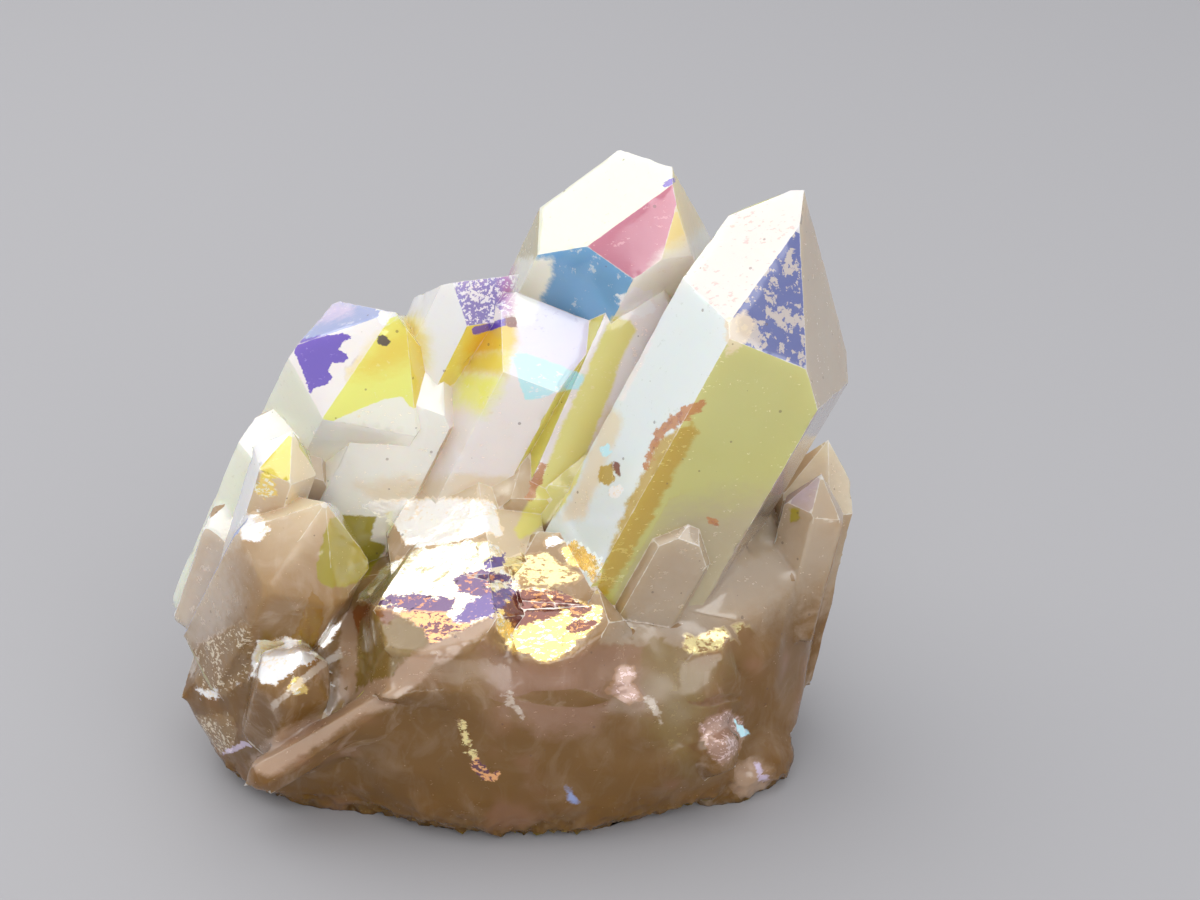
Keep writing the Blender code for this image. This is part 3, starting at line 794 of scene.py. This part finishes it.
def paint_layer(surface, patches, names):
    """One layer: at each corner the patch that it lies deepest in, or is nearest to."""
    spots = in_picture(surface.points)
    corners = surface.triangles.ravel()
    corner_owner = np.repeat(surface.owners, 3)
    best = np.full(len(corners), -FAR_FROM_EDGE)
    film_number = np.zeros(len(corners), int)
    soft = np.full(len(corners), 0.1)
    ragged = np.zeros(len(corners))
    for name, film_name, softness, raggedness, outline in patches:
        owners = faces_under(surface, outline)
        if not owners:
            print("no face under", name)
            continue
        depth = inside_distance(spots, outline)[corners] / PIXELS_PER_MM
        deeper = np.isin(corner_owner, owners) & (depth > best)
        best[deeper] = depth[deeper]
        film_number[deeper] = names.index(film_name)
        soft[deeper] = softness
        ragged[deeper] = raggedness
    return {"film": film_number, "depth": best, "soft": soft, "ragged": ragged}


def faces_under(surface, outline):
    """Numbers of the flat faces that the camera sees inside an outline."""
    seen = [surface.seen_at(spot) for spot in grid_inside(outline, 4)]
    return sorted({number for number in seen if number is not None})


def shape(surface, layers):
    """Moves the points off the flat faces: worn edges and chips on the crystals, soft folds
    low down, and a rounded root with a broken rim. Returns the points, in mm, and rim."""
    points, pairs, count = surface.points.copy(), surface.pairs, len(surface.points)
    corners = points[surface.triangles]
    weight = np.linalg.norm(np.cross(corners[:, 1] - corners[:, 0], corners[:, 2] - corners[:, 0]), axis=1)
    normals = np.zeros((count, 3))
    root = np.zeros(count)
    foot = np.zeros(count)
    total = np.zeros(count)
    crust = np.zeros(count)
    glint = np.array([FILMS[name]["glint"] for name in FILMS])
    flaky = np.zeros((len(surface.triangles), 3))
    for layer in layers:
        flaky = np.maximum(flaky, (glint[layer["film"]] * np.clip(layer["depth"] * 2, 0, 1)).reshape(-1, 3))
    for column in range(3):
        at = surface.triangles[:, column]
        np.add.at(normals, at, surface.face_normals[surface.owners] * weight[:, None])
        np.add.at(root, at, weight * surface.rooty[surface.owners])
        np.add.at(foot, at, weight * surface.foot[surface.owners])
        np.add.at(total, at, weight)
        np.maximum.at(crust, at, flaky[:, column])
    root /= total
    foot /= total
    level = points[:, 2] < FOOT_LEVEL
    rounds = np.where(root > 0.999, np.maximum(ROOT_ROUNDING, surface.rounds), surface.rounds)
    rounds[level] = 0
    for step in range(rounds.max()):
        moving = rounds > step
        points[moving] = spread(points, pairs, count)[moving]
    normals[level & (foot < 0.999), 2] = 0
    normals = unit(normals)
    rim = np.full(count, FAR_FROM_EDGE)
    rim[np.unique(pairs[surface.crisp])] = 0
    for step in range(6):
        np.minimum.at(rim, pairs[:, 0], rim[pairs[:, 1]] + surface.lengths)
        np.minimum.at(rim, pairs[:, 1], rim[pairs[:, 0]] + surface.lengths)
    low = np.clip(1 - points[:, 2] / RIM_HEIGHT, 0, 1)
    waves = 0.26 * smooth_noise(points, 3.4, 1) + 0.10 * smooth_noise(points, 1.4, 2)
    broken = low * (0.30 * flakes(points, 1.5, 10) + 0.30 * flakes(points, 0.7, 20) + 0.10)
    at_edges = -0.04 * np.exp(-rim / EDGE_REACH) * (1 + smooth_noise(points, 0.8, 4))
    chips = -0.30 * np.clip(smooth_noise(points, 1.1, 5) - 0.5, 0, 1) * np.exp(-rim / CHIP_REACH)
    ripple = 0.010 * smooth_noise(points, 2.2, 6)
    plates = 0.07 * crust * flakes(points, 0.8, 30)
    rough = np.maximum(root, np.clip(surface.rounds / ROOT_ROUNDING, 0, 1))
    move = rough * (waves + broken) + (1 - rough) * (at_edges + chips + ripple) + plates
    move[foot > 0.999] = 0
    points = points + normals * move[:, None]
    points[:, 2] = np.where(level, 0, np.maximum(points[:, 2], 0.02))
    return points, rim


def along_axes(surface):
    """A chart in mm for each flat face: the first number runs across and the second along
    the long axis of the point that the face is a side of, or else down the slope."""
    axes = np.array([towards(*axis) for axis in POINT_AXES])
    fit = np.abs(surface.face_normals @ axes.T)
    best = fit.argmin(axis=1)
    along = np.where((fit.min(axis=1) < 0.02)[:, None], axes[best], np.array([0.0, 0.0, 1.0]))
    normals = surface.face_normals
    flat = unit(along - (along * normals).sum(axis=1)[:, None] * normals)
    flat = np.where((np.linalg.norm(flat, axis=1) > 0)[:, None], flat, RIGHT)
    across = np.cross(flat, normals)
    corners = surface.points[surface.triangles]
    u = (corners * across[surface.owners][:, None, :]).sum(axis=2)
    v = (corners * flat[surface.owners][:, None, :]).sum(axis=2)
    return np.stack([u.ravel(), v.ravel()], axis=1)


def add_values(mesh, name, kind, values):
    """Adds one value for each corner of the mesh under a name that the materials read."""
    attribute = mesh.attributes.new(name, kind, "CORNER")
    field = "color" if kind == "FLOAT_COLOR" else "vector"
    attribute.data.foreach_set(field, np.ascontiguousarray(values, np.float32).ravel())


def add_film(mesh, layer, film_number, edge):
    """Adds a layer of film to the mesh: two colours, with the cover beside the first and
    the roughness beside the second, and its edge: depth, softness, raggedness."""
    films = list(FILMS.values())
    main = np.array([(*film["main"], film["cover"]) for film in films])
    second = np.array([(*film["second"], film["rough"]) for film in films])
    feel = np.array([(film["speckle"], film["glint"], film["coarse"]) for film in films])
    add_values(mesh, layer + "_main", "FLOAT_COLOR", main[film_number])
    add_values(mesh, layer + "_second", "FLOAT_COLOR", second[film_number])
    add_values(mesh, layer + "_feel", "FLOAT_VECTOR", feel[film_number])
    if edge is not None:
        add_values(mesh, layer + "_edge", "FLOAT_VECTOR", edge)


def cluster_mesh(surface, materials):
    """The finished mesh of the cluster, with its charts, films and materials."""
    ground, layers = paint(surface)
    points, rim = shape(surface, layers)
    mesh = bpy.data.meshes.new("aura_quartz")
    mesh.from_pydata((points * MM).tolist(), [], surface.triangles.tolist())
    mesh.polygons.foreach_set("use_smooth", np.ones(len(surface.triangles), bool))
    ends = np.zeros(len(mesh.edges) * 2, int)
    mesh.edges.foreach_get("vertices", ends)
    ends = np.sort(ends.reshape(-1, 2), axis=1) @ np.array([len(points), 1])
    crisp = np.isin(ends, surface.pairs[surface.crisp] @ np.array([len(points), 1]))
    mesh.edges.foreach_set("use_edge_sharp", crisp)
    chart = mesh.uv_layers.new(name="along_the_point")
    chart.uv.foreach_set("vector", along_axes(surface).astype(np.float32).ravel())
    add_film(mesh, "ground", np.repeat(ground[surface.owners], 3), None)
    for name, layer in zip(("patch", "mark"), layers):
        edge = np.stack([layer["depth"], layer["soft"], layer["ragged"]], axis=1)
        add_film(mesh, name, layer["film"], edge)
    rims = mesh.attributes.new("rim", "FLOAT", "POINT")
    rims.data.foreach_set("value", rim.astype(np.float32))
    for material in materials:
        mesh.materials.append(material)
    glint = np.array([film["glint"] for film in FILMS.values()])
    shiny = glint[ground[surface.owners]] > 0
    deep = (layers[0]["depth"] > 0) & (glint[layers[0]["film"]] > 0)
    shiny |= deep.reshape(-1, 3).any(axis=1)
    low = surface.rooty[surface.owners] | surface.foot[surface.owners]
    number = np.where(shiny, 2, np.where(low, 1, 0))
    mesh.polygons.foreach_set("material_index", number)
    mesh.update()
    return mesh


class Nodes:
    """Short calls for adding and joining the nodes of one tree."""

    def __init__(self, tree):
        self.tree = tree

    def add(self, kind, inputs=None, **settings):
        """Adds a node with its settings; an input's value is a plain value or a socket."""
        node = self.tree.nodes.new(kind)
        for name, value in settings.items():
            setattr(node, name, value)
        for name, value in (inputs or {}).items():
            self.feed(node.inputs[name], value)
        return node

    def feed(self, socket, value):
        """Links a socket to another one, or sets a plain value on it."""
        if isinstance(value, bpy.types.NodeSocket):
            self.tree.links.new(value, socket)
        else:
            socket.default_value = value

    def maths(self, operation, first, second=0.0, third=0.0, clamp=False):
        """One step of arithmetic on up to three numbers."""
        node = self.add("ShaderNodeMath", {0: first, 1: second, 2: third},
                        operation=operation, use_clamp=clamp)
        return node.outputs[0]

    def ramp(self, value, low, high, to_low=0.0, to_high=1.0, smooth=True):
        """A value carried from one range to another, with soft or straight ends."""
        node = self.add("ShaderNodeMapRange", {"Value": value, "From Min": low, "From Max": high,
                                               "To Min": to_low, "To Max": to_high},
                        interpolation_type="SMOOTHSTEP" if smooth else "LINEAR")
        return node.outputs["Result"]

    def blend(self, share, first, second):
        """A share of the second colour over the first."""
        node = self.add("ShaderNodeMix", data_type="RGBA")
        self.feed(node.inputs[0], share)
        self.feed(node.inputs[6], first)
        self.feed(node.inputs[7], second)
        return node.outputs[2]

    def noise(self, place, size, detail=3.0, roughness=0.55, distortion=0.0):
        """Noise with features about size mm across, from 0 to 1."""
        node = self.add("ShaderNodeTexNoise", {"Vector": place, "Scale": 1 / (size * MM), "Detail": detail,
                                               "Roughness": roughness, "Distortion": distortion})
        return node.outputs["Fac"]

    def attribute(self, name):
        """The values that the mesh carries under a name."""
        return self.add("ShaderNodeAttribute", attribute_name=name)

    def three_numbers(self, name):
        """The three numbers that the mesh carries under a name, one by one."""
        together = self.attribute(name).outputs["Vector"]
        return self.add("ShaderNodeSeparateXYZ", {"Vector": together}).outputs


def new_group(name, inputs, outputs):
    """An empty node group with named sockets; inputs give a kind and a default."""
    group = bpy.data.node_groups.new(name, "ShaderNodeTree")
    for label, (kind, value) in inputs.items():
        socket = group.interface.new_socket(label, in_out="INPUT", socket_type="NodeSocket" + kind)
        socket.default_value = value
    for label, kind in outputs.items():
        group.interface.new_socket(label, in_out="OUTPUT", socket_type="NodeSocket" + kind)
    nodes = Nodes(group)
    return group, nodes, nodes.add("NodeGroupInput").outputs, nodes.add("NodeGroupOutput").inputs


def quartz_colour_and_shade_group():
    """Colour of the quartz under the film: cream at the tops, tan in the middle, brown at
    the foot, with cloudy veils and a blush here and there. The darkening towards the foot
    is partly the root's own brown and partly painted shade of the light from above."""
    group, nodes, given, wanted = new_group(
        "milky quartz with painted shade",
        {"Top": ("Color", (*linear(242, 234, 218), 1)), "Upper": ("Color", (*linear(214, 192, 160), 1)),
         "Middle": ("Color", (*linear(168, 134, 90), 1)), "Lower": ("Color", (*linear(120, 84, 28), 1)),
         "Foot": ("Color", (*linear(116, 78, 10), 1)), "Veil": ("Color", (*linear(226, 208, 190), 1)),
         "Blush": ("Color", (*linear(156, 112, 86), 1)), "Cloudiness": ("Float", 0.5)},
        {"Color": "Color"})
    place = nodes.add("ShaderNodeTexCoord").outputs["Object"]
    height = nodes.add("ShaderNodeSeparateXYZ", {"Vector": place}).outputs["Z"]
    cloud = nodes.maths("SUBTRACT", nodes.noise(place, 7.0, detail=4), 0.5)
    lifted = nodes.maths("MULTIPLY_ADD", cloud, 0.010, height)
    # Painted shade by height: darker towards the foot, partly the root's own brown, and lighter at the tops
    # where the light falls.
    colour = given["Foot"]
    for low, high, above in ((0.002, 0.006, "Lower"), (0.0095, 0.0185, "Middle"), (0.0165, 0.024, "Upper"),
                             (0.023, 0.032, "Top")):
        colour = nodes.blend(nodes.ramp(lifted, low, high), colour, given[above])
    chart = nodes.add("ShaderNodeUVMap", uv_map="along_the_point").outputs["UV"]
    long = nodes.add("ShaderNodeMapping", {"Vector": chart, "Scale": (0.9, 0.22, 1.0)}).outputs["Vector"]
    streak = nodes.add("ShaderNodeTexNoise", {"Vector": long, "Scale": 1.0, "Detail": 5.0, "Roughness": 0.6,
                                              "Distortion": 0.6}).outputs["Fac"]
    veil = nodes.ramp(nodes.noise(place, 2.6, detail=5, roughness=0.6, distortion=1.0), 0.46, 0.72)
    cloudy = nodes.maths("ADD", veil, nodes.ramp(streak, 0.5, 0.78))
    light = nodes.maths("MULTIPLY", cloudy, given["Cloudiness"])
    colour = nodes.blend(nodes.maths("MULTIPLY", light, 0.5, clamp=True), colour, given["Veil"])
    blush = nodes.ramp(nodes.noise(place, 4.5, detail=2), 0.52, 0.75)
    under = nodes.ramp(height, 0.018, 0.010)
    blushing = nodes.maths("MULTIPLY", nodes.maths("MULTIPLY", blush, under), 0.5)
    colour = nodes.blend(blushing, colour, given["Blush"])
    nodes.feed(wanted["Color"], colour)
    return group


def film_layer_group():
    """One layer of film over what is below it: speckles of its second colour, and a mask
    with a ragged or soft edge."""
    group, nodes, given, wanted = new_group(
        "film layer",
        {"Below": ("Color", (1, 1, 1, 1)), "Below Roughness": ("Float", 0.3), "Below Glint": ("Float", 0.0),
         "Below Cover": ("Float", 0.0), "Main": ("Color", (1, 1, 1, 1)), "Second": ("Color", (1, 1, 1, 1)),
         "Cover": ("Float", 1.0), "Roughness": ("Float", 0.1), "Speckle": ("Float", 0.1),
         "Glint": ("Float", 0.0), "Coarse": ("Float", 0.0), "Depth": ("Float", 1.0),
         "Softness": ("Float", 0.1), "Raggedness": ("Float", 0.0)},
        {"Color": "Color", "Roughness": "Float", "Glint": "Float", "Cover": "Float"})
    place = nodes.add("ShaderNodeTexCoord").outputs["Object"]
    streaky = nodes.add("ShaderNodeMapping", {"Vector": place, "Scale": (0.55, 1.0, 1.0)}).outputs["Vector"]
    torn = nodes.maths("SUBTRACT", nodes.noise(streaky, 0.6, detail=6, roughness=0.7), 0.5)
    reach = nodes.maths("MULTIPLY", given["Raggedness"], 3.0)
    edge = nodes.maths("MULTIPLY_ADD", torn, reach, given["Depth"])
    minus = nodes.maths("MULTIPLY", given["Softness"], -1.0)
    mask = nodes.ramp(edge, minus, given["Softness"])
    fine = nodes.noise(streaky, 0.26, detail=3, roughness=0.65)
    broad = nodes.noise(place, 0.7, detail=4, roughness=0.7)
    fleck = nodes.add("ShaderNodeMix", {0: given["Coarse"], 2: fine, 3: broad}).outputs[0]
    drift = nodes.maths("SUBTRACT", nodes.noise(place, 1.8, detail=2), 0.5)
    fleck = nodes.maths("MULTIPLY_ADD", drift, 0.45, fleck)
    start = nodes.maths("MULTIPLY_ADD", given["Speckle"], -0.40, 0.70)
    speckles = nodes.ramp(fleck, start, nodes.maths("ADD", start, 0.05))
    film_colour = nodes.blend(speckles, given["Main"], given["Second"])
    share = nodes.maths("MULTIPLY", mask, given["Cover"])
    nodes.feed(wanted["Color"], nodes.blend(share, given["Below"], film_colour))
    rough = nodes.maths("MULTIPLY_ADD", speckles, 0.10, given["Roughness"])
    for label, value in (("Roughness", rough), ("Glint", given["Glint"]), ("Cover", given["Cover"])):
        mixed = nodes.add("ShaderNodeMix", {0: mask, 2: given["Below " + label], 3: value}).outputs[0]
        nodes.feed(wanted[label], mixed)
    return group


def growth_relief_group():
    """Height of the surface's own relief: fine growth lines across each point, shallow
    pits, and flakes where the film is broken."""
    group, nodes, given, wanted = new_group(
        "growth relief",
        {"Lines": ("Float", 0.5), "Pits": ("Float", 0.3), "Flakes": ("Float", 0.0)},
        {"Height": "Float"})
    chart = nodes.add("ShaderNodeUVMap", uv_map="along_the_point").outputs["UV"]
    place = nodes.add("ShaderNodeTexCoord").outputs["Object"]
    stretched = nodes.add("ShaderNodeMapping", {"Vector": chart,
                                                "Scale": (0.10, 1.6, 1.0)}).outputs["Vector"]
    lines = nodes.add("ShaderNodeTexNoise", {"Vector": stretched, "Scale": 1.6, "Detail": 4.0,
                                             "Roughness": 0.65}).outputs["Fac"]
    pits = nodes.noise(place, 0.5, detail=3, roughness=0.6)
    flake = nodes.add("ShaderNodeTexVoronoi",
                      {"Vector": place, "Scale": 1 / (0.42 * MM), "Randomness": 1.0},
                      feature="F1", distance="CHEBYCHEV").outputs["Distance"]
    height = nodes.maths("MULTIPLY", lines, given["Lines"])
    height = nodes.maths("MULTIPLY_ADD", pits, given["Pits"], height)
    height = nodes.maths("MULTIPLY_ADD", flake, given["Flakes"], height)
    nodes.feed(wanted["Height"], height)
    return group


def edge_highlight_and_dust_group():
    """Pale lines along the crystals' edges, painted highlights where the edges catch the light, and dark
    dust specks on the faces.
    """
    group, nodes, given, wanted = new_group(
        "painted edge highlights and dust",
        {"Below": ("Color", (1, 1, 1, 1)), "Edge": ("Color", (*linear(250, 244, 232), 1)),
         "Edge Width": ("Float", 0.10), "Dust": ("Float", 0.5)},
        {"Color": "Color", "Edge": "Float"})
    place = nodes.add("ShaderNodeTexCoord").outputs["Object"]
    rim = nodes.attribute("rim").outputs["Fac"]
    waver = nodes.ramp(nodes.noise(place, 0.6, detail=4), 0.35, 0.65, 0.2, 1.0)
    width = nodes.maths("MULTIPLY", given["Edge Width"], waver)
    # Painted highlight: the colour turns towards Edge within Edge Width of a crisp edge.
    edge = nodes.ramp(rim, 0.0, width, 1.0, 0.0, smooth=False)
    colour = nodes.blend(nodes.maths("MULTIPLY", edge, 0.6), given["Below"], given["Edge"])
    cells = nodes.add("ShaderNodeTexVoronoi", {"Vector": place, "Scale": 1 / (1.0 * MM), "Randomness": 1.0})
    lot = nodes.add("ShaderNodeSeparateColor", {"Color": cells.outputs["Color"]}).outputs["Red"]
    size = nodes.ramp(lot, 0.5, 1.0, 0.0, 0.12, smooth=False)
    speck = nodes.maths("LESS_THAN", cells.outputs["Distance"], size)
    speck = nodes.maths("MULTIPLY", speck, given["Dust"])
    nodes.feed(wanted["Color"], nodes.blend(speck, colour, (*linear(92, 70, 58), 1)))
    nodes.feed(wanted["Edge"], edge)
    return group


def painted(nodes, groups, below, below_rough):
    """Places the three film layers, one over the other, in a material."""
    glint, cover = 0.0, 0.0
    for layer in ("ground", "patch", "mark"):
        main = nodes.attribute(layer + "_main").outputs
        second = nodes.attribute(layer + "_second").outputs
        feel = nodes.three_numbers(layer + "_feel")
        inputs = {"Below": below, "Below Roughness": below_rough, "Below Glint": glint,
                  "Below Cover": cover, "Main": main["Color"], "Cover": main["Alpha"],
                  "Second": second["Color"], "Roughness": second["Alpha"],
                  "Speckle": feel["X"], "Glint": feel["Y"], "Coarse": feel["Z"]}
        if layer != "ground":
            edge = nodes.three_numbers(layer + "_edge")
            inputs.update({"Depth": edge["X"], "Softness": edge["Y"], "Raggedness": edge["Z"]})
        placed = nodes.add("ShaderNodeGroup", node_tree=groups["film layer"])
        for name, value in inputs.items():
            nodes.feed(placed.inputs[name], value)
        below, below_rough = placed.outputs["Color"], placed.outputs["Roughness"]
        glint, cover = placed.outputs["Glint"], placed.outputs["Cover"]
    return below, below_rough, glint, cover


def place_group(nodes, group, **inputs):
    """Places a group; an underscore stands for a space in a socket's name."""
    placed = nodes.add("ShaderNodeGroup", node_tree=group)
    for name, value in inputs.items():
        nodes.feed(placed.inputs[name.replace("_", " ")], value)
    return placed.outputs


def quartz_material(name, groups, transmission, subsurface, bare_rough, cloudiness, relief, edge_width,
                    coat_rough, mirror=False):
    """A material of the cluster: the quartz colour with its painted shade, its films, pale lines painted
    along the edges as highlights, dust and relief. The coat is strongest where a film covers the quartz."""
    material = bpy.data.materials.new(name)
    material.use_nodes = True
    nodes = Nodes(material.node_tree)
    shader = material.node_tree.nodes["Principled BSDF"]
    body = place_group(nodes, groups["milky quartz with painted shade"], Cloudiness=cloudiness)
    colour, rough, glint, cover = painted(nodes, groups, body["Color"], bare_rough)
    # Pale edge lines painted as highlights, and dark dust specks.
    at_edges = place_group(nodes, groups["painted edge highlights and dust"], Below=colour, Edge_Width=edge_width)
    lines, pits, flake = relief
    flaky = nodes.maths("MULTIPLY", glint, flake)
    height = place_group(nodes, groups["growth relief"], Lines=lines, Pits=pits, Flakes=flaky)["Height"]
    bump = nodes.add("ShaderNodeBump", {"Height": height, "Distance": 0.02 * MM, "Strength": 1.0})
    nodes.feed(shader.inputs["Base Color"], at_edges["Color"])
    nodes.feed(shader.inputs["Roughness"], rough)
    nodes.feed(shader.inputs["Normal"], bump.outputs["Normal"])
    nodes.feed(shader.inputs["Coat Weight"], nodes.maths("MULTIPLY_ADD", cover, 0.75, 0.1))
    if mirror:
        nodes.feed(shader.inputs["Metallic"], nodes.maths("MULTIPLY", glint, 0.8))
    shader.inputs["IOR"].default_value = 1.54
    shader.inputs["Transmission Weight"].default_value = transmission
    shader.inputs["Subsurface Weight"].default_value = subsurface
    shader.inputs["Subsurface Radius"].default_value = (5.5 * MM, 4.2 * MM, 2.8 * MM)
    shader.inputs["Subsurface Scale"].default_value = 1.0
    shader.inputs["Coat Roughness"].default_value = coat_rough
    shader.inputs["Coat IOR"].default_value = 1.8
    inside = nodes.add("ShaderNodeVolumeAbsorption", {"Color": (0.86, 0.66, 0.45, 1), "Density": 30.0})
    output = material.node_tree.nodes["Material Output"]
    material.node_tree.links.new(inside.outputs["Volume"], output.inputs["Volume"])
    return material


def materials():
    """The three finishes: clear-milky points, the milky root and the mirror-bright ledge."""
    groups = {group.name: group for group in (quartz_colour_and_shade_group(), film_layer_group(),
                                              growth_relief_group(), edge_highlight_and_dust_group())}
    points = quartz_material("coated points", groups, transmission=0.22, subsurface=0.6, bare_rough=0.2,
                             cloudiness=0.45, relief=(0.5, 0.2, 1.0), edge_width=0.09, coat_rough=0.08)
    root = quartz_material("milky root", groups, transmission=0.22, subsurface=0.6, bare_rough=0.3,
                           cloudiness=0.15, relief=(0.3, 0.6, 1.0), edge_width=0.05, coat_rough=0.22)
    mirror = quartz_material("mirror bright film", groups, transmission=0.0, subsurface=0.2, bare_rough=0.2,
                             cloudiness=0.4, relief=(0.8, 0.5, 1.5), edge_width=0.06, coat_rough=0.08,
                             mirror=True)
    return points, root, mirror


def cluster():
    """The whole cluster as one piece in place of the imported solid."""
    surface = Surface(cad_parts[NODE])
    piece = bpy.data.objects.new("aura_quartz_cluster", cluster_mesh(surface, materials()))
    bpy.context.scene.collection.objects.link(piece)
    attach(piece, "root")
    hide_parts(NODE)


def plain_material(name, colour, roughness):
    """An even matt finish, for the floor."""
    material = bpy.data.materials.new(name)
    material.use_nodes = True
    shader = material.node_tree.nodes["Principled BSDF"]
    shader.inputs["Base Color"].default_value = (*colour, 1)
    shader.inputs["Roughness"].default_value = roughness
    return material


def floor():
    """A wide pale floor just under the cluster."""
    bm = bmesh.new()
    bmesh.ops.create_grid(bm, x_segments=1, y_segments=1, size=2.0)
    mesh = bpy.data.meshes.new("floor")
    bm.to_mesh(mesh)
    bm.free()
    mesh.materials.append(plain_material("pale floor", linear(158, 158, 161), 0.7))
    item = bpy.data.objects.new("floor", mesh)
    bpy.context.scene.collection.objects.link(item)


def softbox(name, direction, distance, width, height, radiance, colour=(1, 1, 1)):
    """A square soft light that faces the cluster. Its power is its radiance times its area
    times pi."""
    light = bpy.data.lights.new(name, "AREA")
    light.shape = "RECTANGLE"
    light.size = width * MM
    light.size_y = height * MM
    light.energy = radiance * math.pi * width * height * MM * MM
    light.color = colour
    item = bpy.data.objects.new(name, light)
    middle = Vector((0, 0, 22 * MM))
    away = Vector(direction).normalized()
    item.location = middle + away * distance * MM
    item.rotation_mode = "QUATERNION"
    item.rotation_quaternion = away.to_track_quat("Z", "Y")
    bpy.context.scene.collection.objects.link(item)


def lights():
    """A broad key overhead at the left, which the ledge mirrors, a front fill and a pale room."""
    softbox("key overhead left", (-0.36, 0.25, 0.90), 330, 460, 460, 1.25, (1.0, 0.98, 0.95))
    softbox("front fill", (0.25, -0.85, 0.45), 420, 500, 400, 1.75)
    world = bpy.data.worlds.new("studio")
    world.use_nodes = True
    world.node_tree.nodes["Background"].inputs["Color"].default_value = (0.97, 0.97, 1.0, 1)
    world.node_tree.nodes["Background"].inputs["Strength"].default_value = 0.85
    bpy.context.scene.world = world


def camera():
    """The photograph's view, with everything in focus."""
    data = bpy.data.cameras.new("camera")
    data.lens = LENS
    data.sensor_width = SENSOR_WIDTH
    data.clip_start = 0.01
    data.clip_end = 20
    item = bpy.data.objects.new("camera", data)
    item.location = Vector(EYE * MM)
    item.rotation_mode = "QUATERNION"
    item.rotation_quaternion = Vector(-FORWARD).to_track_quat("Z", "Y")
    bpy.context.scene.collection.objects.link(item)
    bpy.context.scene.camera = item


bpy.context.scene.view_settings.view_transform = "Standard"
camera()
lights()
floor()
cluster()
